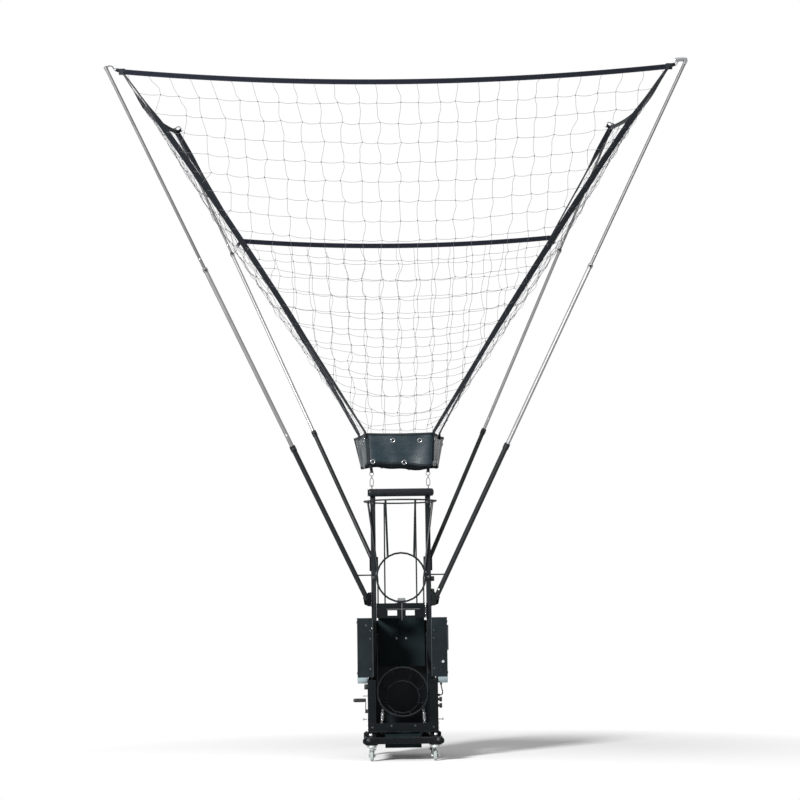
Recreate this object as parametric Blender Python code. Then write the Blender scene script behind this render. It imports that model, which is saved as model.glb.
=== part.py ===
"""Basketball shooting machine: a rolling base with a spring-driven throwing arm, a wire
guide cage over it, and a catching net on four telescoping poles that fold.

Metres, +Z up. +X is to the right seen from the front, and the front faces -Y.
The origin is on the floor under the middle of the machine.
"""

import math

import bmesh
import bpy
from mathutils import Matrix, Vector

GAP = 0.0003

# The machine handles a ball of 243 mm and keeps the ball's way down clear
BALL_RADIUS = 0.1215
HOLD_Z = 0.906

# Casters
WHEEL_RADIUS = 0.026
WHEEL_WIDTH = 0.020
WHEEL_SIDES = 20
CASTER_X = 0.157
CASTER_Y = 0.260
CASTER_TRAIL = 0.018
CASTER_TOP = 0.079

# Base
BEAM_BOTTOM = 0.082
BEAM_TOP = 0.116
BEAM_DEPTH = 0.050
BEAM_HALF_LENGTH = 0.200
RAIL_WIDTH = 0.040
RAIL_X = 0.155
TRAY_HALF_WIDTH = 0.090
TRAY_HALF_LENGTH = 0.215
TRAY_BOTTOM = 0.062
TRAY_TOP = 0.131
TRAY_WALL = 0.002

# Side frames
PLATE_INNER = 0.1518
PLATE_THICKNESS = 0.0045
FRAME_HALF_DEPTH = 0.215
FRAME_TOP = 0.690
LEG_INNER = 0.133
LEG_OUTER = 0.175
LEG_DEPTH = 0.025
LEG_TOP = 0.395

# Side covers
COVER_OUTER = 0.224
COVER_FRONT_INNER = 0.146
COVER_BACK_INNER = 0.1568
COVER_HALF_DEPTH = 0.220
COVER_TOP = 0.702
COVER_STEP = 0.410
COVER_BOTTOM = 0.380
COVER_WALL = 0.0018
BUTTON = Vector((0.202, -COVER_HALF_DEPTH, 0.484))
SOCKET = Vector((0.202, -COVER_HALF_DEPTH, 0.453))

# Bay back panel
BAY_HALF_WIDTH = 0.1195
BAY_BOTTOM = 0.455
BAY_TOP = 0.712
BAY_FOLD = 0.022
BAY_SHEET = 0.002
BAY_HOLE_X = 0.025
BAY_HOLE_Z = 0.597

# Rear cover
PAN_HALF_WIDTH = 0.172
PAN_BOTTOM = 0.140
PAN_TOP = 0.690
PAN_BACK = 0.282
PAN_WALL = 0.0025
VENT_SLOTS = 6
VENT_PITCH = 0.022
VENT_HEIGHT = 0.009
VENT_HALF_WIDTH = 0.070

# Columns and top bar
COLUMN_INNER = BALL_RADIUS + 0.005
COLUMN_OUTER = 0.1515
COLUMN_FRONT = -0.070
COLUMN_BACK = -0.030
COLUMN_BOTTOM = 0.415
COLUMN_TOP = 1.313
BAR_RADIUS = 0.020
BAR_Y = -0.0925
BAR_Z = 1.334
BAR_LEFT_END = -0.163
BAR_RIGHT_END = 0.163
HOOK_X = 0.143
PEG_Z = 0.919
PEG_END = 0.240
PEG_RADIUS = 0.0035

# Guide cage: each front bar has its angle on the ring and on the hoop, and each rear bar
# its angle on the ring and its distance from the middle at its foot
CAGE_RADIUS = BALL_RADIUS + 0.063
CAGE_Z = 1.2935
CAGE_WIRE = 0.004
FRONT_BARS = ((-66, 57), (-27, 13))
FRONT_BAR_RADIUS = 0.0055
REAR_BARS = ((64, 0.082), (28, 0.118))
REAR_BAR_RADIUS = 0.004
HOOP_RADIUS = 0.1232
HOOP_Y = -0.0785
HOOP_WIRE = 0.0055

# Chute frame
CHUTE_BOTTOM = 0.702
CHUTE_TOP = 0.776
CHUTE_FRONT = -0.0845
CHUTE_BACK = 0.1765
CHUTE_HALF_WIDTH = BALL_RADIUS + 0.0045
CHUTE_WALL = 0.0028
WINDOW_WIDTH = 0.049
WINDOW_HEIGHT = 0.027
WINDOW_X = 0.0455
WINDOW_Z = 0.7275
GATE_PIVOT = Vector((0.0, 0.160, 0.7745))
GATE_HALF_WIDTH = 0.020
GATE_LIP_TOP = 0.799

# Throwing arm
AXLE = Vector((0.0, 0.0, 0.600))
AXLE_RADIUS = 0.0125
ARM_INNER = BALL_RADIUS + 0.0011
ARM_THICKNESS = 0.003
ARM_WIDTH = 0.026
CRADLE = Vector((0.0, -0.200, 0.337))
CRADLE_RADIUS = BALL_RADIUS + 0.0043
CRADLE_WIRE = 0.0038
CRADLE_POINTS = 24
CRADLE_LEAN = math.radians(18)
BASKET_RADIUS = 0.085
BASKET_DEPTH = 0.093

# Throwing springs
SPRING_TURNS = 10
SPRING_POINTS = 8
SPRING_COIL = 0.0085
SPRING_WIRE = 0.0013
SPRING_FOOT_X = 0.106

# Drive, adjuster and cable
CRANK_CENTRE = Vector((0.1660, 0.036, 0.484))
CRANK_HANDLE = Vector((-LEG_OUTER, -0.202, 0.243))
KNOB_LOBES = 6
KNOB_HEIGHTS = {"upper": 0.298, "lower": 0.267}
CABLE_RADIUS = 0.003

# Poles: foot pivot, tip, ends of the sleeve and of the middle tube along the pole, and
# the three outer radii. Positions are for the right side.
POLES = {
    "front": {
        "pivot": Vector((0.176, -0.075, 0.805)),
        "tip": Vector((1.420, -0.680, 3.400)),
        "sleeve_end": 0.860,
        "middle_end": 1.847,
        "radii": (0.0130, 0.0108, 0.0080),
    },
    "rear": {
        "pivot": Vector((0.139, -0.006, 0.985)),
        "tip": Vector((1.210, 0.680, 3.400)),
        "sleeve_end": 0.780,
        "middle_end": 1.900,
        "radii": (0.0110, 0.0086, 0.0062),
    },
}
TUBE_WALL = 0.0014
TUBE_OVERLAP = 0.120
TUBE_SIDES = 12
COLLAR_LENGTH = 0.032
COLLAR_EXTRA = 0.0022
PIVOT_BOLT = 0.0050
PIVOT_BORE = 0.0058
BRACKET_PLATE = 0.0035
BRACKET_HEIGHT = 0.068

# Net: corners on the right side
NET_FRONT_CORNER = Vector((1.340, -0.660, 3.377))
NET_REAR_CORNER = Vector((1.192, 0.640, 3.368))
NET_BACK_CORNER = Vector((0.835, 0.500, 2.735))
FRONT_BAND_SAG = 0.072
BACK_BAND_SAG = 0.035
BAND_WIDTH = 0.026
BAND_THICKNESS = 0.003
STRAP_WIDTH = 0.024
TWINE = 0.0050
FRONT_COLUMNS = 12
FRONT_ROWS = 9
BACK_COLUMNS = 8
SIDE_COLUMNS = 3
WRAP_ROWS = 9
BACK_TOP_ROW = 3

# Funnel at the foot of the net: corners on the right side
FUNNEL_TOP = 1.630
FUNNEL_BOTTOM = 1.472
FUNNEL_FRONT_TOP = Vector((0.174, -0.165))
FUNNEL_BACK_TOP = Vector((0.235, 0.160))
FUNNEL_FRONT_BOTTOM = Vector((0.166, -0.155))
FUNNEL_BACK_BOTTOM = Vector((0.200, 0.150))
FUNNEL_WALL = 0.003
FUNNEL_ROUNDING = 0.018
NET_FOOT = FUNNEL_TOP + 0.007

SCENE = bpy.context.scene


# Looks

def look(name, colour, roughness, metallic=0.0):
    """A plain Principled material."""
    material = bpy.data.materials.new(name)
    material.use_nodes = True
    shader = material.node_tree.nodes["Principled BSDF"]
    shader.inputs["Base Color"].default_value = (*colour, 1.0)
    shader.inputs["Roughness"].default_value = roughness
    shader.inputs["Metallic"].default_value = metallic
    material.diffuse_color = (*colour, 1.0)
    return material


# Mesh helpers

def finished(name, mesh, material, parent=None, origin=None):
    """One named object from a bmesh in world or parent space, with its origin moved."""
    data = bpy.data.meshes.new(name)
    if origin is not None:
        bmesh.ops.translate(mesh, verts=mesh.verts, vec=-Vector(origin))
    mesh.to_mesh(data)
    mesh.free()
    data.materials.append(material)
    data.shade_smooth()
    data.set_sharp_from_angle(angle=math.radians(35))
    made = bpy.data.objects.new(name, data)
    SCENE.collection.objects.link(made)
    if origin is not None:
        made.location = origin
    made.parent = parent
    return made


def block(low, high, bevel=0.0):
    """A box between two corners, with its edges bevelled."""
    mesh = bmesh.new()
    low, high = Vector(low), Vector(high)
    bmesh.ops.create_cube(mesh, size=1.0)
    bmesh.ops.scale(mesh, verts=mesh.verts, vec=high - low)
    bmesh.ops.translate(mesh, verts=mesh.verts, vec=(low + high) / 2)
    if bevel:
        bmesh.ops.bevel(mesh, geom=mesh.edges[:], offset=bevel, segments=1, affect="EDGES")
    return mesh


def ring_points(centre, axis, radius, sides, start=None):
    """Points on a circle round an axis."""
    axis = Vector(axis).normalized()
    across = axis.orthogonal() if start is None else Vector(start)
    across = (across - axis * across.dot(axis)).normalized()
    up = axis.cross(across)
    turns = [2 * math.pi * i / sides for i in range(sides)]
    return [Vector(centre) + (across * math.cos(t) + up * math.sin(t)) * radius for t in turns]


def bridge(mesh, first, second):
    """Quads between two rings of vertices of the same count."""
    count = len(first)
    for i in range(count):
        j = (i + 1) % count
        mesh.faces.new((first[i], first[j], second[j], second[i]))


def loft(rings, closed=False):
    """A solid through rings of points: capped at its ends, or closed into a loop."""
    mesh = bmesh.new()
    loops = [[mesh.verts.new(p) for p in ring] for ring in rings]
    for before, after in zip(loops, loops[1:]):
        bridge(mesh, before, after)
    if closed:
        bridge(mesh, loops[-1], loops[0])
    else:
        mesh.faces.new(reversed(loops[0]))
        mesh.faces.new(loops[-1])
    bmesh.ops.recalc_face_normals(mesh, faces=mesh.faces)
    return mesh


def bar(start, end, radius, sides=12, radius_end=None):
    """A round bar between two points, tapered if it has a second radius."""
    start, end = Vector(start), Vector(end)
    last = radius if radius_end is None else radius_end
    axis = end - start
    return loft([ring_points(start, axis, radius, sides), ring_points(end, axis, last, sides)])


def turned(profile, centre, axis, sides, start=None):
    """A closed ring-shaped solid turned from (distance along, radius) points."""
    axis = Vector(axis).normalized()
    rings = [ring_points(Vector(centre) + axis * s, axis, r, sides, start) for s, r in profile]
    return loft(rings, closed=True)


def wire(points, radius, sides=6, closed=False, normal=None):
    """A round wire along points, with its section carried along without twist."""
    points = [Vector(p) for p in points]
    count = len(points)
    across = None if normal is None else Vector(normal)
    rings = []
    for i, point in enumerate(points):
        before = points[i - 1] if i or closed else point
        after = points[(i + 1) % count] if i < count - 1 or closed else point
        tangent = (after - before).normalized()
        if across is None:
            across = tangent.orthogonal()
        across = (across - tangent * across.dot(tangent)).normalized()
        rings.append(ring_points(point, tangent, radius, sides, across))
    return loft(rings, closed)


def prism(outline, direction, depth):
    """A flat outline of points pushed along a direction."""
    shift = Vector(direction).normalized() * depth
    first = [Vector(p) for p in outline]
    return loft([first, [p + shift for p in first]])


def arc(centre, radius, start, end, steps):
    """(a, b) points on an arc, angles in degrees."""
    turns = [math.radians(start + (end - start) * i / steps) for i in range(steps + 1)]
    return [(centre[0] + radius * math.cos(t), centre[1] + radius * math.sin(t)) for t in turns]


def as_operand(mesh):
    """A bmesh as a bare object for a Boolean."""
    data = bpy.data.meshes.new("operand")
    mesh.to_mesh(data)
    mesh.free()
    made = bpy.data.objects.new("operand", data)
    SCENE.collection.objects.link(made)
    return made


def combined(base, others, operation):
    """The union or difference of one bmesh with the others, as a new bmesh."""
    target = as_operand(base)
    group = bpy.data.collections.new("operands")
    tools = [as_operand(other) for other in others]
    for tool in tools:
        group.objects.link(tool)
    modifier = target.modifiers.new("boolean", "BOOLEAN")
    modifier.operation = operation
    modifier.solver = "EXACT"
    modifier.operand_type = "COLLECTION"
    modifier.collection = group
    graph = bpy.context.evaluated_depsgraph_get()
    result = bmesh.new()
    result.from_object(target, graph)
    for spent in [target] + tools:
        bpy.data.objects.remove(spent)
    bpy.data.collections.remove(group)
    bmesh.ops.remove_doubles(result, verts=result.verts, dist=0.000005)
    bmesh.ops.dissolve_degenerate(result, edges=result.edges, dist=0.000005)
    return result


def union(base, *others):
    return combined(base, others, "UNION")


def cut(base, *others):
    return combined(base, others, "DIFFERENCE")


def mirrored(point, side):
    """A right-hand point moved to a side: +1 right, -1 left."""
    return Vector((point[0] * side, point[1], point[2]))


def side_block(side, inner, outer, y_low, y_high, z_low, z_high, bevel=0.0):
    """A box given by its distances from the middle plane."""
    low_x, high_x = sorted((inner * side, outer * side))
    return block((low_x, y_low, z_low), (high_x, y_high, z_high), bevel)


SIDES = {"left": -1, "right": 1}


# Base

def base_frame(paint):
    """Rear beam, two side rails, a cross rail and the four caster plates, welded."""
    rear = block(
        (-BEAM_HALF_LENGTH, CASTER_Y - BEAM_DEPTH / 2, BEAM_BOTTOM),
        (BEAM_HALF_LENGTH, CASTER_Y + BEAM_DEPTH / 2, BEAM_TOP),
        0.004,
    )
    rail_front = -CASTER_Y + BEAM_DEPTH / 2 + GAP
    parts = []
    for side in SIDES.values():
        inner = RAIL_X - RAIL_WIDTH / 2
        outer = RAIL_X + RAIL_WIDTH / 2
        parts.append(
            side_block(side, inner, outer, rail_front, CASTER_Y, BEAM_BOTTOM, BEAM_TOP, 0.003)
        )
        plate_low = CASTER_Y - 0.030
        parts.append(
            side_block(
                side, CASTER_X - 0.030, CASTER_X + 0.030, plate_low, plate_low + 0.060,
                CASTER_TOP, BEAM_BOTTOM + 0.001,
            )
        )
    parts.append(block((-RAIL_X, 0.221, BEAM_BOTTOM + 0.004), (RAIL_X, 0.245, BEAM_TOP - 0.004)))
    return finished("base_frame", union(rear, *parts), paint)


def base_front_beam(paint):
    """The front beam with rounded end pads and its two caster plates."""
    beam = block(
        (-BEAM_HALF_LENGTH + 0.020, -CASTER_Y - BEAM_DEPTH / 2 + 0.003, BEAM_BOTTOM + 0.002),
        (BEAM_HALF_LENGTH - 0.020, -CASTER_Y + BEAM_DEPTH / 2, BEAM_TOP),
        0.003,
    )
    parts = []
    middle_z = (BEAM_BOTTOM + BEAM_TOP) / 2
    for side in SIDES.values():
        pad = [
            (side * (BEAM_HALF_LENGTH - 0.015 + a), -CASTER_Y - BEAM_DEPTH / 2, middle_z + b)
            for a, b in arc((0, 0), 0.0165, -90, 90, 6)
        ]
        pad += [
            (side * (BEAM_HALF_LENGTH - 0.050), -CASTER_Y - BEAM_DEPTH / 2, middle_z + z)
            for z in (0.0165, -0.0165)
        ]
        parts.append(prism(pad, (0, 1, 0), BEAM_DEPTH - 0.001))
        parts.append(
            side_block(
                side, CASTER_X - 0.030, CASTER_X + 0.030, -CASTER_Y - 0.022, -CASTER_Y + 0.024,
                CASTER_TOP, BEAM_BOTTOM + 0.004,
            )
        )
    return finished("base_front_beam", union(beam, *parts), paint)


def base_tray(paint):
    """The open tray between the beams, with a turned-out rim and end hooks."""
    outer = block(
        (-TRAY_HALF_WIDTH, -TRAY_HALF_LENGTH, TRAY_BOTTOM),
        (TRAY_HALF_WIDTH, TRAY_HALF_LENGTH, TRAY_TOP),
    )
    rim = block(
        (-TRAY_HALF_WIDTH - 0.010, -TRAY_HALF_LENGTH, TRAY_TOP - 0.002),
        (TRAY_HALF_WIDTH + 0.010, TRAY_HALF_LENGTH, TRAY_TOP),
    )
    tongue = block(
        (-TRAY_HALF_WIDTH + 0.010, -CASTER_Y - 0.020, BEAM_TOP + GAP),
        (TRAY_HALF_WIDTH - 0.010, CASTER_Y + 0.015, BEAM_TOP + GAP + 0.003),
    )
    hollow = block(
        (-TRAY_HALF_WIDTH + TRAY_WALL, -TRAY_HALF_LENGTH + TRAY_WALL, TRAY_BOTTOM + TRAY_WALL),
        (TRAY_HALF_WIDTH - TRAY_WALL, TRAY_HALF_LENGTH - TRAY_WALL, TRAY_TOP + 0.010),
    )
    shell = cut(union(outer, rim, tongue), hollow)
    return finished("base_tray", shell, paint)


# Casters

def caster_fork(name, centre, paint):
    """Swivel head, crown, two legs and the wheel bolt, turning about the stem."""
    x, y = centre
    wheel_y = y + CASTER_TRAIL
    leg_inner = WHEEL_WIDTH / 2 + 0.0015
    leg_thickness = 0.0025
    head = bar((x, y, 0.0665), (x, y, CASTER_TOP - GAP), 0.023, 14)
    crown = block(
        (x - leg_inner - leg_thickness, y - 0.016, 0.0615),
        (x + leg_inner + leg_thickness, wheel_y + 0.014, 0.0670),
    )
    legs = []
    for side in SIDES.values():
        face = x + side * leg_inner
        outline = [(face, y - 0.014, 0.0640), (face, wheel_y + 0.012, 0.0640)]
        foot = arc((wheel_y, WHEEL_RADIUS), 0.0095, 20, -200, 6)
        outline += [(face, a, b) for a, b in foot]
        legs.append(prism(outline, (side, 0, 0), leg_thickness))
    bolt = bar(
        (x - leg_inner - leg_thickness - 0.003, wheel_y, WHEEL_RADIUS),
        (x + leg_inner + leg_thickness + 0.003, wheel_y, WHEEL_RADIUS),
        0.004,
        8,
    )
    return finished(name, union(head, crown, *legs, bolt), paint, origin=(x, y, CASTER_TOP))


def caster_wheel(name, centre, rubber):
    """A wheel with a crowned tread and a stepped hub, turned about its bolt."""
    x, y = centre
    half = WHEEL_WIDTH / 2
    bore = 0.0047
    profile = [
        (-half - 0.0008, bore), (half + 0.0008, bore), (half - 0.002, 0.015),
        (half - 0.001, 0.020), (half - 0.005, WHEEL_RADIUS), (-half + 0.005, WHEEL_RADIUS),
        (-half + 0.001, 0.020), (-half + 0.002, 0.015),
    ]
    flat = math.cos(math.pi / WHEEL_SIDES)
    profile = [(s, r / flat if r == WHEEL_RADIUS else r) for s, r in profile]
    half_side = math.pi / WHEEL_SIDES
    start = (0, math.sin(half_side), -math.cos(half_side))
    hub = Vector((x, y + CASTER_TRAIL, WHEEL_RADIUS))
    mesh = turned(profile, hub, (1, 0, 0), WHEEL_SIDES, start)
    return finished(name, mesh, rubber, origin=hub)


# Frame

def side_frame(side_name, paint):
    """Plate with front and rear legs, a bearing boss and lightening holes."""
    side = SIDES[side_name]
    outer = PLATE_INNER + PLATE_THICKNESS
    bottom = BEAM_TOP + GAP
    plate = side_block(
        side, PLATE_INNER, outer, -FRAME_HALF_DEPTH, FRAME_HALF_DEPTH, bottom, FRAME_TOP
    )
    legs = [
        side_block(side, LEG_INNER, LEG_OUTER, y, y + LEG_DEPTH, bottom, LEG_TOP, 0.002)
        for y in (-FRAME_HALF_DEPTH, FRAME_HALF_DEPTH - LEG_DEPTH)
    ]
    boss = bar(
        (side * (PLATE_INNER + 0.0002), AXLE.y, AXLE.z), (side * 0.168, AXLE.y, AXLE.z), 0.027, 16
    )
    bore = bar((side * 0.140, AXLE.y, AXLE.z), (side * 0.180, AXLE.y, AXLE.z), 0.0134, 16)
    holes = [
        bar((side * 0.140, y, z), (side * 0.160, y, z), radius, 14)
        for y, z, radius in ((-0.095, 0.255, 0.042), (0.095, 0.255, 0.042), (0.120, 0.480, 0.035))
    ]
    shell = cut(union(plate, *legs, boss), bore, *holes)
    return finished("side_frame_" + side_name, shell, paint)


def lower_cross_plate(paint):
    """The folded plate across the front legs, above the base beam."""
    front = -FRAME_HALF_DEPTH - GAP
    outline = [
        (front, 0.140), (front, 0.183), (front - 0.004, 0.183), (front - 0.004, 0.144),
        (front - 0.020, 0.144), (front - 0.020, 0.140),
    ]
    mesh = prism([(-LEG_OUTER, y, z) for y, z in outline], (1, 0, 0), 2 * LEG_OUTER)
    return finished("lower_cross_plate", mesh, paint)


def column(side_name, paint):
    """Square tube with rounded edges and the steel peg on its outer face."""
    side = SIDES[side_name]
    tube = side_block(
        side, COLUMN_INNER, COLUMN_OUTER, COLUMN_FRONT, COLUMN_BACK, COLUMN_BOTTOM, COLUMN_TOP,
        0.003,
    )
    cap = side_block(
        side, COLUMN_INNER + 0.002, COLUMN_OUTER - 0.002, COLUMN_FRONT + 0.003,
        COLUMN_BACK - 0.003, COLUMN_TOP - 0.004, COLUMN_TOP + 0.004, 0.002,
    )
    peg_y = (COLUMN_FRONT + COLUMN_BACK) / 2
    peg = bar(
        (side * (COLUMN_OUTER - 0.005), peg_y, PEG_Z), (side * PEG_END, peg_y, PEG_Z), PEG_RADIUS, 8
    )
    return finished("column_" + side_name, union(tube, cap, peg), paint)


def top_bar(paint):
    """Round bar with domed ends, saddles over the columns and two eyes for the hooks."""
    rings = []
    for x, share in (
        (BAR_LEFT_END, 0.60), (BAR_LEFT_END + 0.006, 0.93), (BAR_LEFT_END + 0.014, 1.0),
        (BAR_RIGHT_END - 0.010, 1.0), (BAR_RIGHT_END, 0.90), (BAR_RIGHT_END + 0.007, 0.55),
    ):
        rings.append(ring_points((x, BAR_Y, BAR_Z), (1, 0, 0), BAR_RADIUS * share, 16))
    parts = []
    for side in SIDES.values():
        saddle = side_block(
            side, COLUMN_INNER - 0.001, COLUMN_OUTER + 0.001, COLUMN_FRONT - 0.020, COLUMN_BACK,
            COLUMN_TOP + 0.005, COLUMN_TOP + 0.013, 0.002,
        )
        tab = side_block(
            side, COLUMN_INNER - 0.001, COLUMN_OUTER + 0.001, COLUMN_FRONT - GAP - 0.004,
            COLUMN_FRONT - GAP, COLUMN_TOP - 0.045, COLUMN_TOP + 0.008,
        )
        eye = wire(
            ring_points((side * HOOK_X, BAR_Y, BAR_Z + BAR_RADIUS + 0.0085), (1, 0, 0), 0.0105, 10),
            0.0022, 5, closed=True, normal=(1, 0, 0),
        )
        parts += [saddle, tab, eye]
    return finished("top_bar", union(loft(rings), *parts), paint)


def snap_hook(side_name, chrome):
    """A snap hook: its wire loop passes through the bar's eye, its body is above."""
    side = SIDES[side_name]
    x = side * HOOK_X
    low = BAR_Z + BAR_RADIUS + 0.0075
    half = 0.0085
    loop = [(x - half + a, BAR_Y, low + 0.012 + b) for a, b in arc((half, 0), half, 180, 360, 8)]
    loop += [(x + half, BAR_Y, low + 0.034)]
    loop += [(x + a, BAR_Y, low + 0.040 + b) for a, b in arc((0, 0), 0.006, 30, 150, 4)]
    loop += [(x - half, BAR_Y, low + 0.034)]
    ring = wire(loop, 0.0024, 5, closed=True, normal=(0, 1, 0))
    neck = bar((x, BAR_Y, low + 0.044), (x, BAR_Y, low + 0.060), 0.0045, 10, 0.0035)
    swivel = wire(
        ring_points((x, BAR_Y, low + 0.068), (0, 1, 0), 0.0105, 10),
        0.0022, 5, closed=True, normal=(0, 1, 0),
    )
    return finished("snap_hook_" + side_name, union(ring, neck, swivel), chrome)


# Guide cage, chute and gate

def guide_cage(paint):
    """Top ring, eight tapering bars and the hoop in front of the waiting ball."""
    ring = wire(
        ring_points((0, 0, CAGE_Z), (0, 0, 1), CAGE_RADIUS, 24), CAGE_WIRE, 6, True, (0, 0, 1)
    )
    hoop = wire(
        ring_points((0, HOOP_Y, HOLD_Z), (0, 1, 0), HOOP_RADIUS, 24), HOOP_WIRE, 6, True, (0, 1, 0)
    )
    parts = [hoop]
    for side in SIDES.values():
        for top_angle, foot_angle in FRONT_BARS:
            t = math.radians(top_angle)
            h = math.radians(foot_angle)
            top = (side * CAGE_RADIUS * math.cos(t), CAGE_RADIUS * math.sin(t), CAGE_Z)
            foot = (side * HOOP_RADIUS * math.cos(h), HOOP_Y, HOLD_Z + HOOP_RADIUS * math.sin(h))
            knee = (foot[0], HOOP_Y - 0.001, foot[2] + 0.020)
            parts.append(wire([top, knee, foot], FRONT_BAR_RADIUS, 6))
        for top_angle, foot_x in REAR_BARS:
            t = math.radians(top_angle)
            top = (side * CAGE_RADIUS * math.cos(t), CAGE_RADIUS * math.sin(t), CAGE_Z)
            foot = (side * foot_x, CHUTE_BACK + 0.0045, 0.740)
            knee = (foot[0], foot[1], 0.900)
            parts.append(wire([top, knee, foot], REAR_BAR_RADIUS, 6))
        lug = side_block(
            side, COLUMN_INNER - 0.006, COLUMN_INNER + 0.018, HOOP_Y - 0.002, COLUMN_FRONT - GAP,
            HOLD_Z - 0.010, HOLD_Z + 0.010,
        )
        clip = side_block(
            side, COLUMN_OUTER + GAP, CAGE_RADIUS, COLUMN_FRONT + 0.006, COLUMN_FRONT + 0.018,
            CAGE_Z - 0.003, CAGE_Z + 0.003,
        )
        parts += [lug, clip]
    strip = block(
        (-0.124, CHUTE_BACK + 0.0018, 0.742), (0.124, CHUTE_BACK + 0.0060, 0.758)
    )
    parts.append(strip)
    return finished("guide_cage", union(ring, *parts), paint)


def chute_frame(paint):
    """Four-sided frame that the ball drops through, with two windows front and back."""
    outer = block(
        (-CHUTE_HALF_WIDTH, CHUTE_FRONT, CHUTE_BOTTOM), (CHUTE_HALF_WIDTH, CHUTE_BACK, CHUTE_TOP)
    )
    hollow = block(
        (-CHUTE_HALF_WIDTH + CHUTE_WALL, CHUTE_FRONT + CHUTE_WALL, CHUTE_BOTTOM - 0.01),
        (CHUTE_HALF_WIDTH - CHUTE_WALL, CHUTE_BACK - CHUTE_WALL, CHUTE_TOP + 0.01),
    )
    windows = [
        block(
            (side * WINDOW_X - WINDOW_WIDTH / 2, CHUTE_FRONT - 0.01, WINDOW_Z - WINDOW_HEIGHT / 2),
            (side * WINDOW_X + WINDOW_WIDTH / 2, CHUTE_BACK + 0.01, WINDOW_Z + WINDOW_HEIGHT / 2),
        )
        for side in SIDES.values()
    ]
    ears = [
        block(
            (x - 0.002, GATE_PIVOT.y - 0.006, GATE_PIVOT.z - 0.008),
            (x + 0.002, CHUTE_BACK - 0.001, GATE_PIVOT.z + 0.007),
        )
        for x in (-0.026, 0.026)
    ]
    pin = bar(
        (-0.029, GATE_PIVOT.y, GATE_PIVOT.z), (0.029, GATE_PIVOT.y, GATE_PIVOT.z), 0.0025, 8
    )
    shell = union(cut(outer, hollow, *windows), *ears, pin)
    return finished("chute_frame", shell, paint)


def release_gate(steel):
    """Tongue under the waiting ball, with a barrel on its pin and a turned-up lip."""
    reach = HOOP_Y + HOOP_WIRE + 0.006
    half = GATE_HALF_WIDTH
    outline = [
        (-half, GATE_PIVOT.y - 0.004, GATE_PIVOT.z + 0.0020),
        (-half, GATE_PIVOT.y - 0.004, GATE_PIVOT.z + 0.0050),
        (-half, reach + 0.018, GATE_PIVOT.z + 0.0050),
        (-half, reach + 0.0032, GATE_LIP_TOP),
        (-half, reach, GATE_LIP_TOP),
        (-half, reach + 0.016, GATE_PIVOT.z + 0.0020),
    ]
    tongue = prism(outline, (1, 0, 0), 2 * half)
    barrel = bar(
        (-0.0225, GATE_PIVOT.y, GATE_PIVOT.z), (0.0225, GATE_PIVOT.y, GATE_PIVOT.z), 0.0062, 12
    )
    bore = bar(
        (-0.03, GATE_PIVOT.y, GATE_PIVOT.z), (0.03, GATE_PIVOT.y, GATE_PIVOT.z), 0.0032, 12
    )
    mesh = cut(union(tongue, barrel), bore)
    return finished("release_gate", mesh, steel, origin=GATE_PIVOT)


# Covers

def switch_rings():
    """Plate, button bezel and charging socket on the front of the right cover."""
    y = BUTTON.y
    plate = block((0.189, y - 0.0014, 0.438), (0.215, y + 0.001, 0.498))
    bezel = turned(
        [(0.0006, 0.0074), (0.0006, 0.0102), (0.0045, 0.0102), (0.0056, 0.0088), (0.0056, 0.0074)],
        (BUTTON.x, y, BUTTON.z), (0, -1, 0), 14,
    )
    socket = turned(
        [(0.0006, 0.0058), (0.0006, 0.0090), (0.0060, 0.0090), (0.0075, 0.0078), (0.0075, 0.0058)],
        (SOCKET.x, y, SOCKET.z), (0, -1, 0), 14,
    )
    return [plate, bezel, socket]


def side_cover(side_name, paint):
    """Sheet box over the side frame, open inwards, with a chamfered foot."""
    side = SIDES[side_name]
    inner = COVER_BACK_INNER
    depth = COVER_HALF_DEPTH
    upper = [
        (-depth, COVER_STEP), (depth - 0.004, COVER_STEP), (depth - 0.004, COVER_TOP),
        (-depth, COVER_TOP),
    ]
    foot = [
        (-depth, COVER_STEP), (-depth + 0.030, COVER_BOTTOM), (depth - 0.004, COVER_BOTTOM),
        (depth - 0.004, COVER_STEP + 0.010), (-depth, COVER_STEP + 0.010),
    ]
    thick = COVER_WALL
    shell = prism([(side * inner, y, z) for y, z in upper], (side, 0, 0), COVER_OUTER - inner)
    foot_inner = LEG_OUTER + 0.0010
    foot_face = [(side * foot_inner, y, z) for y, z in foot]
    low = prism(foot_face, (side, 0, 0), COVER_OUTER - foot_inner)
    room = side_block(
        side, inner - 0.01, COVER_OUTER - thick, -depth + thick, depth - 0.004 - thick,
        COVER_STEP + thick, COVER_TOP - thick,
    )
    foot_room_outline = [
        (-depth + thick, COVER_STEP + 0.001), (-depth + 0.030 + thick, COVER_BOTTOM + thick),
        (depth - 0.004 - thick, COVER_BOTTOM + thick), (depth - 0.004 - thick, COVER_STEP + 0.012),
        (-depth + thick, COVER_STEP + 0.012),
    ]
    foot_room = prism(
        [(side * (foot_inner + thick), y, z) for y, z in foot_room_outline],
        (side, 0, 0),
        COVER_OUTER - thick - foot_inner - thick,
    )
    flange = side_block(
        side, COVER_FRONT_INNER, inner + 0.004, -depth, -depth + thick, COVER_STEP, COVER_TOP
    )
    body = union(cut(union(shell, low), room, foot_room), flange)
    if side_name == "right":
        body = union(body, *switch_rings())
    return finished("side_cover_" + side_name, body, paint)


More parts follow.
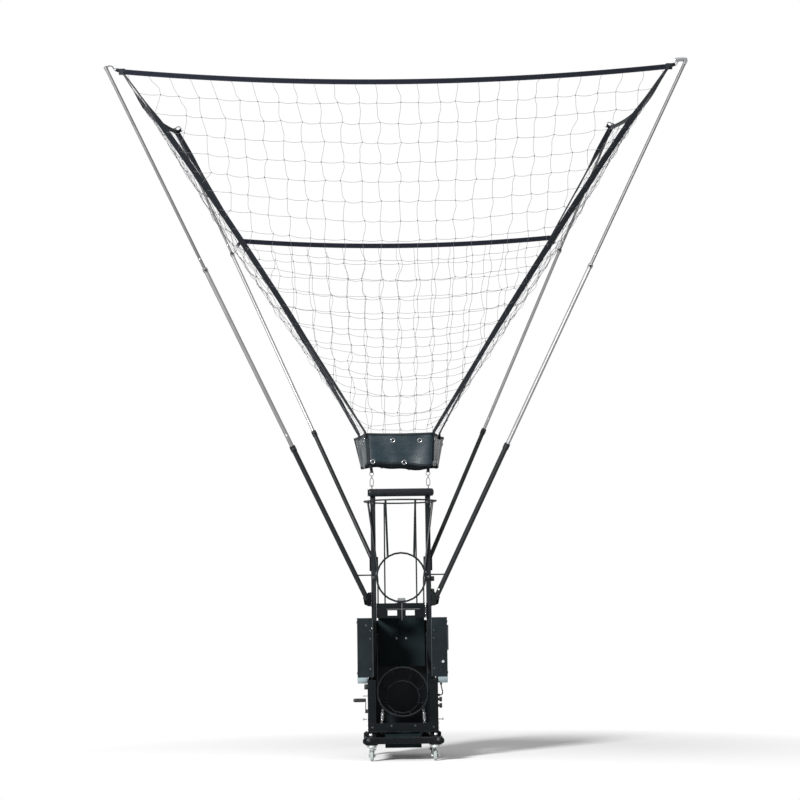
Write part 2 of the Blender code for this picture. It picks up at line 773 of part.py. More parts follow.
def bay_back_panel(paint):
    """Wall behind the throwing bay, folded back at its long edges, with two small holes."""
    half = BAY_HALF_WIDTH
    inner = half - BAY_SHEET
    y = CHUTE_BACK + GAP
    fold = y + BAY_FOLD
    outline = [
        (-half, y), (half, y), (half, fold), (inner, fold), (inner, y + BAY_SHEET),
        (-inner, y + BAY_SHEET), (-inner, fold), (-half, fold),
    ]
    wall = prism([(a, b, BAY_BOTTOM) for a, b in outline], (0, 0, 1), BAY_TOP - BAY_BOTTOM)
    holes = [
        bar((x, y - 0.01, BAY_HOLE_Z), (x, y + 0.01, BAY_HOLE_Z), 0.004, 8)
        for x in (-BAY_HOLE_X, BAY_HOLE_X)
    ]
    return finished("bay_back_panel", cut(wall, *holes), paint)


def rear_cover(paint):
    """Deep pan behind the arm's way back, open to the front, with vent slots."""
    front = FRAME_HALF_DEPTH + 0.0015
    half, wall = PAN_HALF_WIDTH, PAN_WALL
    outer = block((-half, front - 0.030, PAN_BOTTOM), (half, PAN_BACK, PAN_TOP), 0.010)
    room = block(
        (-half + wall, front - 0.050, PAN_BOTTOM + wall),
        (half - wall, PAN_BACK - wall, PAN_TOP - wall),
        0.009,
    )
    face = block((-0.2, front - 0.060, 0.1), (0.2, front, 0.75))
    slots = []
    for i in range(VENT_SLOTS):
        low = 0.500 + i * VENT_PITCH
        slots.append(
            block(
                (-VENT_HALF_WIDTH, PAN_BACK - 0.012, low),
                (VENT_HALF_WIDTH, PAN_BACK + 0.008, low + VENT_HEIGHT),
            )
        )
    return finished("rear_cover", cut(outer, face, room, *slots), paint)


# Throwing arm

def cradle_point(across, up, back):
    """A point of the cradle: across it, up its leaning plane, and back behind that plane."""
    up_axis = Vector((0, math.sin(CRADLE_LEAN), math.cos(CRADLE_LEAN)))
    back_axis = Vector((0, math.cos(CRADLE_LEAN), -math.sin(CRADLE_LEAN)))
    return CRADLE + Vector((across, 0, 0)) + up_axis * up + back_axis * back


def spring_lug(side):
    """Where a throwing spring hooks on to the side of the cradle."""
    return cradle_point(side * CRADLE_RADIUS * 0.80, -CRADLE_RADIUS * 0.60, 0)


def throw_arm(paint):
    """Two flat side bars on stub axles, and the wire cradle that holds the ball."""
    circle = arc((0, 0), 1.0, 0, 360, CRADLE_POINTS)[:-1]
    hoop = wire(
        [cradle_point(CRADLE_RADIUS * a, CRADLE_RADIUS * b, 0) for a, b in circle],
        CRADLE_WIRE, 6, True, cradle_point(0, 0, 1) - cradle_point(0, 0, 0),
    )
    basket = wire(
        [cradle_point(BASKET_RADIUS * a, BASKET_RADIUS * b, BASKET_DEPTH) for a, b in circle[::2]],
        0.003, 6, True, cradle_point(0, 0, 1) - cradle_point(0, 0, 0),
    )
    parts = [basket]
    for i in range(8):
        t = math.radians(22.5 + 45 * i)
        a, b = math.cos(t), math.sin(t)
        middle = CRADLE_RADIUS * 0.93
        rib = [
            cradle_point(CRADLE_RADIUS * a, CRADLE_RADIUS * b, 0),
            cradle_point(middle * a, middle * b, BASKET_DEPTH * 0.52),
            cradle_point(BASKET_RADIUS * a, BASKET_RADIUS * b, BASKET_DEPTH),
        ]
        parts.append(wire(rib, 0.003, 6))
    reach = CRADLE - AXLE
    along = reach.normalized()
    across = Vector((0, along.z, -along.y))
    fittings = []
    for side in SIDES.values():
        face = Vector((side * ARM_INNER, 0, 0))
        outline = [
            face + AXLE - along * 0.024 * math.sin(math.radians(t))
            + across * 0.024 * math.cos(math.radians(t))
            for t in (-15, 20, 55, 90, 125, 160, 195)
        ]
        end = face + AXLE + along * (reach.length + 0.020)
        outline += [end - across * ARM_WIDTH / 2, end + across * ARM_WIDTH / 2]
        parts.append(prism(outline, (side, 0, 0), ARM_THICKNESS))
        inner = side * (ARM_INNER + 0.001)
        fittings.append(
            bar((inner, AXLE.y, AXLE.z), (side * 0.186, AXLE.y, AXLE.z), AXLE_RADIUS, 16)
        )
        fittings.append(
            bar((side * 0.1690, AXLE.y, AXLE.z), (side * 0.1770, AXLE.y, AXLE.z), 0.0215, 16)
        )
    lever_face = 0.1700
    lever = [
        (lever_face, AXLE.y + 0.010, AXLE.z + 0.016), (lever_face, AXLE.y - 0.012, AXLE.z + 0.010),
        (lever_face, AXLE.y - 0.006, AXLE.z - 0.018), (lever_face, AXLE.y + 0.070, AXLE.z - 0.010),
        (lever_face, AXLE.y + 0.074, AXLE.z + 0.006),
    ]
    fittings.append(prism(lever, (1, 0, 0), 0.006))
    for side in SIDES.values():
        lug = spring_lug(side)
        low, high = lug - Vector((0.004, 0.006, 0.014)), lug + Vector((0.004, 0.006, 0.004))
        fittings.append(block(low, high))
    return finished("throw_arm", union(union(hoop, *parts), *fittings), paint, origin=AXLE)


def throw_spring(side_name, chrome):
    """Extension spring from the cradle's side lug down to the cross plate."""
    side = SIDES[side_name]
    top = spring_lug(side) - Vector((0, 0, 0.014 + 0.0025))
    foot = Vector((side * SPRING_FOOT_X, -FRAME_HALF_DEPTH - 0.0023, 0.1851))
    axis = (foot - top).normalized()
    across = axis.orthogonal().normalized()
    up = axis.cross(across)
    length = (foot - top).length
    points = [top, top + axis * 0.004]
    steps = SPRING_TURNS * SPRING_POINTS
    for i in range(steps + 1):
        turn = 2 * math.pi * i / SPRING_POINTS
        along = 0.008 + (length - 0.016) * i / steps
        points.append(
            top + axis * along + (across * math.cos(turn) + up * math.sin(turn)) * SPRING_COIL
        )
    points += [top + axis * (length - 0.004), foot]
    nearest = min(
        (point - other).length
        for i, point in enumerate(points)
        for other in points[i + SPRING_POINTS // 2:]
    )
    print("least gap of the spring to itself, mm:", round((nearest - 2 * SPRING_WIRE) * 1000, 2))
    return finished("throw_spring_" + side_name, wire(points, SPRING_WIRE, 5), chrome)


# Drive and controls

def gear_motor(metal):
    """Motor can, gearbox block and output shaft, in the right side box."""
    can = bar((0.1975, 0.055, 0.452), (0.1975, 0.185, 0.452), 0.0215, 16)
    gearbox = block((0.1775, 0.012, 0.424), (0.2180, 0.060, 0.500), 0.003)
    shaft = bar((0.1660, 0.036, 0.484), (0.1800, 0.036, 0.484), 0.006, 12)
    return finished("gear_motor", union(can, gearbox, shaft), metal)


def drive_crank(steel):
    """Crank disc with a counterweighted rim and a pin, on the motor's shaft."""
    disc = turned(
        [(-0.0075, 0.0066), (-0.0015, 0.0066), (-0.0015, 0.012), (-0.003, 0.026), (-0.003, 0.034),
         (-0.0075, 0.034)],
        CRANK_CENTRE + Vector((0.0095, 0, 0)), (1, 0, 0), 24,
    )
    pin = bar(
        CRANK_CENTRE + Vector((0.0050, -0.024, 0)), CRANK_CENTRE + Vector((0.0100, -0.024, 0)),
        0.005, 10,
    )
    return finished("drive_crank", union(disc, pin), steel, origin=CRANK_CENTRE)


def control_box(plastic):
    """Board housing behind the arm's axle in the left side box, with cooling ribs and feet."""
    body = block((-0.2140, 0.045, 0.450), (-0.1760, 0.195, 0.660), 0.004)
    ribs = [
        block((-0.1765, 0.060 + 0.018 * i, 0.470), (-0.1715, 0.068 + 0.018 * i, 0.640))
        for i in range(7)
    ]
    feet = [
        block((-0.1770, y, 0.456), (-PLATE_INNER - PLATE_THICKNESS - GAP, y + 0.008, 0.654))
        for y in (0.047, 0.185)
    ]
    return finished("control_box", union(body, *ribs, *feet), plastic)


def adjuster_crank(paint):
    """Crank handle on the left leg: hub, flat arm and a round grip."""
    x = CRANK_HANDLE.x - GAP
    y, z = CRANK_HANDLE.y, CRANK_HANDLE.z
    hub = bar((x, y, z), (x - 0.013, y, z), 0.0095, 14)
    top = 0.054
    outline = [(x - 0.008, y + a, z + b) for a, b in arc((0, 0), 0.010, 180, 360, 6)]
    outline += [(x - 0.008, y + a, z + top + b) for a, b in arc((0, 0), 0.009, 0, 180, 6)]
    arm = prism(outline, (-1, 0, 0), 0.004)
    profile = [(0.010, 0.0060), (0.014, 0.0090), (0.060, 0.0095), (0.068, 0.0080), (0.071, 0.0050)]
    rings = [ring_points((x - s, y, z + top), (-1, 0, 0), r, 16) for s, r in profile]
    return finished("adjuster_crank", union(hub, arm, loft(rings)), paint, origin=CRANK_HANDLE)


def clamp_knob(name, z, plastic):
    """Lobed clamp knob on the right leg."""
    centre = Vector((LEG_OUTER + GAP, -0.2025, z))
    outline = []
    for i in range(30):
        turn = 2 * math.pi * i / 30
        radius = 0.0118 + 0.0014 * math.cos(KNOB_LOBES * turn)
        outline.append(
            (centre.x + 0.006, centre.y + radius * math.cos(turn), centre.z + radius * math.sin(turn))
        )
    head = prism(outline, (1, 0, 0), 0.013)
    neck = bar(centre, centre + Vector((0.008, 0, 0)), 0.0070, 12)
    return finished(name, union(head, neck), plastic, origin=centre)


def power_button(plastic):
    """Round push button in a bezel ring that stands on the right cover."""
    y = BUTTON.y
    rings = [
        ring_points((BUTTON.x, y - 0.0048, BUTTON.z), (0, -1, 0), 0.0070, 16),
        ring_points((BUTTON.x, y - 0.0085, BUTTON.z), (0, -1, 0), 0.0068, 16),
        ring_points((BUTTON.x, y - 0.0098, BUTTON.z), (0, -1, 0), 0.0052, 16),
    ]
    return finished("power_button", loft(rings), plastic, origin=BUTTON)


def side_cable(rubber):
    """Short cable from the right box's underside into a gland on the leg."""
    foot_z = COVER_BOTTOM - GAP
    controls = [
        (0.192, -0.150, foot_z), (0.192, -0.151, foot_z - 0.012), (0.195, -0.158, foot_z - 0.030),
        (0.198, -0.172, foot_z - 0.045), (0.197, -0.188, foot_z - 0.055),
        (0.190, -0.199, foot_z - 0.060), (0.182, -0.2025, foot_z - 0.061),
        (LEG_OUTER + GAP, -0.2025, foot_z - 0.061),
    ]
    return finished("side_cable", wire(controls, CABLE_RADIUS, 8), rubber)


# Poles

def pole_axes(end, side):
    """Foot pivot, pole direction, fold axis and length of one pole."""
    data = POLES[end]
    pivot = mirrored(data["pivot"], side)
    tip = mirrored(data["tip"], side)
    along = (tip - pivot).normalized()
    fold = along.cross(Vector((0, 0, 1))).normalized()
    return pivot, along, fold, (tip - pivot).length


def pole_tube(start, end, outer, inner, collar=None):
    """A tube along local Z with an optional thicker collar at its top."""
    profile = [(start, inner), (start, outer)]
    if collar:
        profile += [
            (end - collar, outer), (end - collar + 0.002, outer + COLLAR_EXTRA),
            (end - 0.002, outer + COLLAR_EXTRA),
        ]
    profile += [(end, outer), (end, inner)]
    return turned(profile, (0, 0, 0), (0, 0, 1), TUBE_SIDES, (1, 0, 0))


def pole(end, side_name, sleeve_paint, steel):
    """Sleeve, middle tube and top tube of one pole, on an empty turned along it."""
    side = SIDES[side_name]
    data = POLES[end]
    pivot, along, fold, length = pole_axes(end, side)
    carrier = bpy.data.objects.new("pole_axis_" + end + "_" + side_name, None)
    SCENE.collection.objects.link(carrier)
    turn = Matrix((fold.cross(along), fold, along)).transposed()
    carrier.matrix_world = Matrix.Translation(pivot) @ turn.to_4x4()
    name = end + "_pole_{}_" + side_name
    outer_a, outer_b, outer_c = data["radii"]
    sleeve_end, middle_end = data["sleeve_end"], data["middle_end"]

    foot_end = 0.036
    tube = pole_tube(foot_end - 0.004, sleeve_end, outer_a, outer_b + GAP, COLLAR_LENGTH)
    foot = loft([ring_points((0, 0, z), (0, 0, 1), r, TUBE_SIDES, (1, 0, 0))
                 for z, r in ((-0.0135, 0.008), (-0.008, outer_a), (foot_end, outer_a))])
    bore = bar((0, -0.03, 0), (0, 0.03, 0), PIVOT_BORE, 12)
    sleeve = cut(union(tube, foot), bore)
    finished(name.format("sleeve"), sleeve, sleeve_paint, parent=carrier)

    middle = pole_tube(
        sleeve_end - TUBE_OVERLAP, middle_end, outer_b, outer_c + GAP, COLLAR_LENGTH * 0.7
    )
    if end == "rear":
        clip = wire(
            [(0, 0, middle_end - 0.012), (outer_b, 0, middle_end - 0.011),
             (outer_b + 0.026, 0, middle_end - 0.004), (outer_b + 0.034, 0, middle_end + 0.008)],
            0.0022, 6,
        )
        core = bar((0, 0, middle_end - 0.05), (0, 0, middle_end + 0.02), outer_b - 0.0006, 16)
        middle = union(middle, cut(clip, core))
    finished(name.format("middle"), middle, steel, parent=carrier)

    top = pole_tube(middle_end - TUBE_OVERLAP, length - 0.012, outer_c, outer_c - TUBE_WALL)
    cap = loft([ring_points((0, 0, z), (0, 0, 1), r, TUBE_SIDES, (1, 0, 0))
                for z, r in ((length - 0.020, outer_c - 0.0002), (length - 0.018, outer_c + 0.0015),
                             (length - 0.002, outer_c + 0.0015), (length, outer_c - 0.002))])
    hook = wire(
        [(0, 0, length - 0.008), (0.020, 0, length - 0.006), (0.034, 0, length - 0.014),
         (0.036, 0, length - 0.028)],
        0.0030, 6,
    )
    finished(name.format("top"), union(top, cap, hook), steel, parent=carrier)


def pole_bracket(end, side_name, paint):
    """Folded channel with its pivot bolt, on the column."""
    side = SIDES[side_name]
    pivot, along, fold, _ = pole_axes(end, side)
    out = Vector((along.x, along.y, 0)).normalized()
    outer = POLES[end]["radii"][0]
    half_gap = outer + 0.0008
    back = outer + 0.0035
    turn = Matrix.Translation(pivot) @ Matrix((out, fold, Vector((0, 0, 1)))).transposed().to_4x4()

    def placed(mesh):
        bmesh.ops.transform(mesh, matrix=turn, verts=mesh.verts)
        bmesh.ops.recalc_face_normals(mesh, faces=mesh.faces)
        return mesh

    low, high = -BRACKET_HEIGHT * 0.62, BRACKET_HEIGHT * 0.38
    web = placed(
        block(
            (-back - BRACKET_PLATE, -half_gap - BRACKET_PLATE - 0.001, low - 0.001),
            (-back, half_gap + BRACKET_PLATE + 0.001, high + 0.001),
        )
    )
    cheeks = []
    for hand in (-1, 1):
        face = hand * half_gap
        outline = [(-back - 0.001, low), (0.004, low + 0.008)]
        outline += arc((0, 0), 0.012, -40, 90, 5)
        outline += [(-back - 0.001, high)]
        cheek = prism([(a, face, b) for a, b in outline], (0, hand, 0), BRACKET_PLATE)
        cheeks.append(placed(cheek))
    bolt = placed(
        bar(
            (0, -half_gap - BRACKET_PLATE - 0.004, 0), (0, half_gap + BRACKET_PLATE + 0.004, 0),
            PIVOT_BOLT, 10,
        )
    )
    base_low, base_high = pivot.z + low - 0.003, pivot.z + high + 0.003
    if end == "front":
        face = COLUMN_OUTER + GAP
        foot = side_block(
            side, face, face + 0.0035, COLUMN_FRONT - 0.012, COLUMN_BACK, base_low, base_high
        )
        filler = side_block(
            side, face + 0.001, pivot.x * side, pivot.y - 0.012, pivot.y + 0.012,
            base_low + 0.006, base_high - 0.006,
        )
        beyond = side_block(side, 0.05, face + 0.001, -0.3, 0.1, 0.5, 1.2)
    else:
        face = COLUMN_BACK + GAP
        foot = side_block(
            side, COLUMN_INNER, COLUMN_OUTER + 0.008, face, face + 0.0035, base_low, base_high
        )
        filler = side_block(
            side, COLUMN_INNER + 0.003, pivot.x * side + 0.006, face + 0.001, pivot.y,
            base_low + 0.006, base_high - 0.006,
        )
        beyond = side_block(side, 0.05, 0.25, -0.2, face + 0.001, 0.5, 1.2)
    ahead = placed(block((-back - BRACKET_PLATE * 0.4, -0.1, -0.2), (0.1, 0.1, 0.2)))
    channel = cut(union(web, *cheeks, cut(filler, ahead)), beyond)
    return finished(end + "_bracket_" + side_name, union(channel, foot, bolt), paint)


# Funnel and net

def funnel_loop(level, inset):
    """One level of the funnel's wall: 0 at the top, 1 at the bottom, as points round it."""
    front = FUNNEL_FRONT_TOP.lerp(FUNNEL_FRONT_BOTTOM, level)
    back = FUNNEL_BACK_TOP.lerp(FUNNEL_BACK_BOTTOM, level)
    corners = [
        Vector((-front.x, front.y)), Vector((front.x, front.y)), Vector((back.x, back.y)),
        Vector((-back.x, back.y)),
    ]
    points = []
    for i, corner in enumerate(corners):
        before, after = corners[i - 1], corners[(i + 1) % 4]
        to_before = (before - corner).normalized() * FUNNEL_ROUNDING
        to_after = (after - corner).normalized() * FUNNEL_ROUNDING
        points.append(corner + to_before)
        points.append(corner + (to_before + to_after) * 0.30)
        points.append(corner + to_after)
        for step in range(1, 6):
            points.append((corner + to_after).lerp(after - to_after, step / 6))
    middle = Vector((0.0, (front.y + back.y) / 2))
    loop = []
    for i, point in enumerate(points):
        wave = 0.0035 * level * math.sin(i * 1.35) - 0.0020 * math.sin(math.pi * level)
        out = (point - middle).normalized()
        place = point + out * (wave - inset)
        z = FUNNEL_TOP + (FUNNEL_BOTTOM - FUNNEL_TOP) * level
        z += 0.005 * level * math.sin(i * 0.9 + 0.5)
        loop.append(Vector((place.x, place.y, z)))
    return loop


def funnel(vinyl):
    """The vinyl funnel: one wall all round, with soft folds growing towards its foot."""
    levels = [0, 0.34, 0.68, 1.0]
    outside = [funnel_loop(level, 0.0) for level in levels]
    inside = [funnel_loop(level, FUNNEL_WALL) for level in reversed(levels)]
    return finished("net_funnel", loft(outside + inside, closed=True), vinyl)


def front_band_point(share):
    """The front band's middle line: share runs from -1 at the left to 1 at the right."""
    sag = FRONT_BAND_SAG * (1 - share * share)
    corner = NET_FRONT_CORNER
    return Vector((corner.x * share, corner.y + 0.010 * (1 - share * share), corner.z - sag))


def back_band_point(share):
    """The back band's middle line, from -1 at the left to 1 at the right."""
    sag = BACK_BAND_SAG * (1 - share * share)
    corner = NET_BACK_CORNER
    return Vector((corner.x * share, corner.y, corner.z - sag))


def ribbon(points, width_axis, width, thickness):
    """Flat webbing along points, its width kept near the given axis."""
    points = [Vector(p) for p in points]
    rings = []
    for i, point in enumerate(points):
        before = points[max(i - 1, 0)]
        after = points[min(i + 1, len(points) - 1)]
        tangent = (after - before).normalized()
        wide = Vector(width_axis)
        wide = (wide - tangent * wide.dot(tangent)).normalized()
        thin = tangent.cross(wide)
        w, t = wide * width / 2, thin * thickness / 2
        rings.append([point + w + t, point - w + t, point - w - t, point + w - t])
    return loft(rings)


def net_band(name, curve, steps, webbing):
    """A sagging band of webbing with a doubled patch at each end."""
    inset = 0.022 / abs(curve(1).x)
    shares = [-1 + inset + (2 - 2 * inset) * i / steps for i in range(steps + 1)]
    band = ribbon([curve(s) for s in shares], (0, 0, 1), BAND_WIDTH, BAND_THICKNESS)
    patches = []
    for side in SIDES.values():
        ends = [curve(side * s) for s in (1 - inset, 1 - inset * 3.5)]
        patches.append(ribbon(ends, (0, 0, 1), BAND_WIDTH + 0.010, BAND_THICKNESS + 0.003))
    return finished(name, union(band, *patches), webbing)


def funnel_corner(end, side):
    """The top of one corner of the funnel, where a seam of the net is sewn to it."""
    corner = FUNNEL_FRONT_TOP if end == "front" else FUNNEL_BACK_TOP
    return Vector((side * corner.x, corner.y, FUNNEL_TOP + 0.004))


def side_strap(side_name, webbing):
    """Webbing round one side panel: front seam, top edge and rear seam, sewn together."""
    side = SIDES[side_name]
    front = mirrored(NET_FRONT_CORNER, side)
    rear = mirrored(NET_REAR_CORNER, side)
    back = mirrored(NET_BACK_CORNER, side) + Vector((side * 0.006, 0.002, 0))
    out = Vector((side, 0, 0))
    top_line = [front, front.lerp(rear, 0.5) - Vector((0, 0, 0.030)), rear]
    front_line = [front.lerp(funnel_corner("front", side), i / 6) for i in range(7)]
    rear_line = [rear, back]
    rear_line += [back.lerp(funnel_corner("back", side), i / 5) for i in range(1, 6)]
    pieces = [
        ribbon(top_line, (0, 0, 1), STRAP_WIDTH, BAND_THICKNESS),
        ribbon(front_line, (0, 1, 0.3), STRAP_WIDTH, BAND_THICKNESS),
        ribbon(rear_line, (0, 1, 0.3), STRAP_WIDTH, BAND_THICKNESS),
        bar(front - out * 0.004, front + out * 0.004, 0.018, 10),
        bar(rear - out * 0.004, rear + out * 0.004, 0.018, 10),
    ]
    return finished("net_strap_" + side_name, union(*pieces), webbing)


def mesh_panel(name, mesh, twine):
    """Square mesh over a surface: each edge becomes a strand and each gap is left open."""
    panel = finished(name, mesh, twine)
    strands = panel.modifiers.new("strands", "WIREFRAME")
    strands.thickness = TWINE
    strands.use_even_offset = False
    strands.use_relative_offset = False
    strands.use_boundary = True
    strands.use_replace = True
    return panel


def net_front_panel(twine):
    """Front mesh from the front band down to the funnel's front edge."""
    mesh = bmesh.new()
    rows = []
    for row in range(FRONT_ROWS + 1):
        level = row / FRONT_ROWS
        line = []
        for column_index in range(FRONT_COLUMNS + 1):
            share = -1 + 2 * column_index / FRONT_COLUMNS
            top = front_band_point(share * 0.978) - Vector((0, 0, 0.0235))
            foot = Vector((share * (FUNNEL_FRONT_TOP.x - 0.014), FUNNEL_FRONT_TOP.y, NET_FOOT))
            point = top.lerp(foot, level)
            point.y -= 0.030 * math.sin(math.pi * level) * (1 - share * share)
            line.append(mesh.verts.new(point))
        rows.append(line)
    for upper, lower in zip(rows, rows[1:]):
        for i in range(FRONT_COLUMNS):
            mesh.faces.new((upper[i], lower[i], lower[i + 1], upper[i + 1]))
    bmesh.ops.recalc_face_normals(mesh, faces=mesh.faces)
    return mesh_panel("net_front_panel", mesh, twine)


def wrap_edge(row, side):
    """Front and rear ends of one row of a side panel."""
    level = row / WRAP_ROWS
    front_top = NET_FRONT_CORNER + Vector((-0.006, 0.030, -0.030))
    rear_top = NET_REAR_CORNER + Vector((-0.016, -0.020, -0.022))
    back_top = NET_BACK_CORNER + Vector((-0.016, -0.008, -0.020))
    front_foot = Vector((FUNNEL_FRONT_TOP.x - 0.002, FUNNEL_FRONT_TOP.y + 0.022, NET_FOOT))
    back_foot = Vector((FUNNEL_BACK_TOP.x - 0.006, FUNNEL_BACK_TOP.y - 0.004, NET_FOOT))
    front = front_top.lerp(front_foot, level)
    if row <= BACK_TOP_ROW:
        rear = rear_top.lerp(back_top, row / BACK_TOP_ROW)
    else:
        rear = back_top.lerp(back_foot, (row - BACK_TOP_ROW) / (WRAP_ROWS - BACK_TOP_ROW))
    return mirrored(front, side), mirrored(rear, side)


def net_rear_wrap(twine):
    """Side and back mesh in one piece, from the front seams round behind the funnel."""
    mesh = bmesh.new()
    seams = {}
    for side in SIDES.values():
        rows = []
        for row in range(WRAP_ROWS + 1):
            front, rear = wrap_edge(row, side)
            line = []
            for step in range(SIDE_COLUMNS + 1):
                share = step / SIDE_COLUMNS
                point = front.lerp(rear, share)
                belly = math.sin(math.pi * row / WRAP_ROWS) * math.sin(math.pi * share)
                point.x += side * 0.045 * belly
                line.append(mesh.verts.new(point))
            rows.append(line)
        seams[side] = [line[-1] for line in rows]
        for upper, lower in zip(rows, rows[1:]):
            for i in range(SIDE_COLUMNS):
                mesh.faces.new((upper[i], lower[i], lower[i + 1], upper[i + 1]))
    back = []
    for row in range(BACK_TOP_ROW, WRAP_ROWS + 1):
        level = (row - BACK_TOP_ROW) / (WRAP_ROWS - BACK_TOP_ROW)
        left, right = seams[-1][row], seams[1][row]
        line = [left]
        for step in range(1, BACK_COLUMNS):
            share = -1 + 2 * step / BACK_COLUMNS
            point = left.co.lerp(right.co, (share + 1) / 2)
            point.z -= BACK_BAND_SAG * (1 - share * share) * (1 - level)
            point.y += 0.040 * math.sin(math.pi * level) * (1 - share * share)
            line.append(mesh.verts.new(point))
        line.append(right)
        back.append(line)
    for upper, lower in zip(back, back[1:]):
        for i in range(BACK_COLUMNS):
            mesh.faces.new((upper[i], lower[i], lower[i + 1], upper[i + 1]))
    bmesh.ops.recalc_face_normals(mesh, faces=mesh.faces)
    return mesh_panel("net_rear_wrap", mesh, twine)


def build():
    for spare in list(bpy.data.objects):
        bpy.data.objects.remove(spare)
    paint = look("black_powder_coat", (0.012, 0.018, 0.021), 0.42, 0.2)
    matte = look("matte_black_sleeve", (0.010, 0.011, 0.012), 0.65)
    steel = look("bright_steel", (0.55, 0.56, 0.57), 0.28, 1.0)
    chrome = look("chrome", (0.72, 0.73, 0.74), 0.12, 1.0)
    webbing = look("navy_webbing", (0.014, 0.018, 0.032), 0.85)
    vinyl = look("teal_black_vinyl", (0.012, 0.026, 0.036), 0.35)
    twine = look("grey_twine", (0.42, 0.43, 0.44), 0.80)
    caster = look("grey_green_caster", (0.30, 0.35, 0.33), 0.50)
    rubber = look("grey_rubber", (0.20, 0.23, 0.22), 0.70)
    plastic = look("black_plastic", (0.015, 0.015, 0.016), 0.40)

    base_frame(paint)
    base_front_beam(paint)
    base_tray(paint)
    for end_name, y in (("front", -CASTER_Y), ("rear", CASTER_Y)):
        for side_name, side in SIDES.items():
            place = (side * CASTER_X, y)
            caster_fork("caster_fork_" + end_name + "_" + side_name, place, caster)
            caster_wheel("caster_wheel_" + end_name + "_" + side_name, place, rubber)
    for side_name in SIDES:
        side_frame(side_name, paint)
        column(side_name, paint)
        side_cover(side_name, paint)
        snap_hook(side_name, chrome)
        throw_spring(side_name, chrome)
        side_strap(side_name, webbing)
        for end_name in POLES:
            pole(end_name, side_name, matte, steel)
            pole_bracket(end_name, side_name, paint)
    lower_cross_plate(paint)
    top_bar(paint)
    guide_cage(paint)
    chute_frame(paint)
    release_gate(steel)
    bay_back_panel(paint)
    rear_cover(paint)
    throw_arm(paint)
    gear_motor(steel)
    drive_crank(steel)
    control_box(plastic)
    adjuster_crank(paint)
    for place_name, height in KNOB_HEIGHTS.items():
        clamp_knob("clamp_knob_" + place_name, height, plastic)
    power_button(plastic)
    side_cable(rubber)
    funnel(vinyl)
    net_band("net_front_band", front_band_point, 16, webbing)
    net_band("net_back_band", back_band_point, 12, webbing)
    net_front_panel(twine)
    net_rear_wrap(twine)


build()
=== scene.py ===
"""Looks of the basketball shooting machine: the knotted net, its webbing and funnel,
the springs and fittings, and the finish of every part. Metres, same frame as the model.
"""

import math
import random
from dataclasses import dataclass

import bpy
from mathutils import Matrix, Vector


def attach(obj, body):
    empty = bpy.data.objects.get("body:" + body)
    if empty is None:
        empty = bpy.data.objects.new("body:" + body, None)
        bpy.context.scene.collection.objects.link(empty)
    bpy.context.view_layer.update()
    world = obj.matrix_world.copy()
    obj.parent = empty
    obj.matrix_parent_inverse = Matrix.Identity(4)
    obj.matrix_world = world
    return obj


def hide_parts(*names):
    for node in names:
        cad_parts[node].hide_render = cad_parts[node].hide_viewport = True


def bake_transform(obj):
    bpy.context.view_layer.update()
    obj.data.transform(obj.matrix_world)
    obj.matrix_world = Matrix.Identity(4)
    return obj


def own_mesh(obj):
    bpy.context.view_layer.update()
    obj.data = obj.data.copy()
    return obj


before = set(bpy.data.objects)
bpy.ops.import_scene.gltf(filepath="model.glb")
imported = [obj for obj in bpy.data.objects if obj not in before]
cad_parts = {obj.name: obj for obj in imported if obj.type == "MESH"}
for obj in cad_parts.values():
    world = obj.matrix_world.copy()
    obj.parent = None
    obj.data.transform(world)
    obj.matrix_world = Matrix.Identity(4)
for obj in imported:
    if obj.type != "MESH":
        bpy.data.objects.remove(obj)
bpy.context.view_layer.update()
SCENE = bpy.context.scene
SIDES = {"left": -1, "right": 1}
FRAME = "machine_frame"
FRONT, REAR, RIGHT, TOP, UNDER = (0, -1, 0), (0, 1, 0), (1, 0, 0), (0, 0, 1), (0, 0, -1)
UP = Vector(TOP)
WHITE, BLACK = (1, 1, 1, 1), (0, 0, 0, 1)
DICE = random.Random(7)

# Net, webbing and funnel, right side
FRONT_CORNER = Vector((1.340, -0.660, 3.377))
REAR_CORNER = Vector((1.192, 0.640, 3.368))
BACK_CORNER = Vector((0.835, 0.500, 2.735))
FRONT_SAG = 0.061
BACK_SAG = 0.035
BAND_WIDTH = 0.026
STRAP_WIDTH = 0.029
TOP_STRAP_WIDTH = 0.022
TOP_STRAP_SAG = 0.058
SEAM_BOW = 0.027
WEB_THICKNESS = 0.0026
TWINE = 0.00084
FUNNEL_TOP = 1.630
FUNNEL_BOTTOM = 1.472
FUNNEL_FRONT = (Vector((0.174, -0.165)), Vector((0.166, -0.155)))  # corner at the top and foot
FUNNEL_BACK = (Vector((0.235, 0.160)), Vector((0.200, 0.150)))
NET_FOOT = FUNNEL_TOP + 0.007
REAR_SEAM_FOOT = Vector((0.2060, -0.0040, NET_FOOT))

# Where the net's corners go when the poles are folded and pushed together
FRONT_FOLDED = Vector((0.352, -0.172, 2.055))
REAR_FOLDED = Vector((0.425, 0.158, 2.324))
BACK_FOLDED = Vector((0.372, 0.185, 2.255))


# Node trees

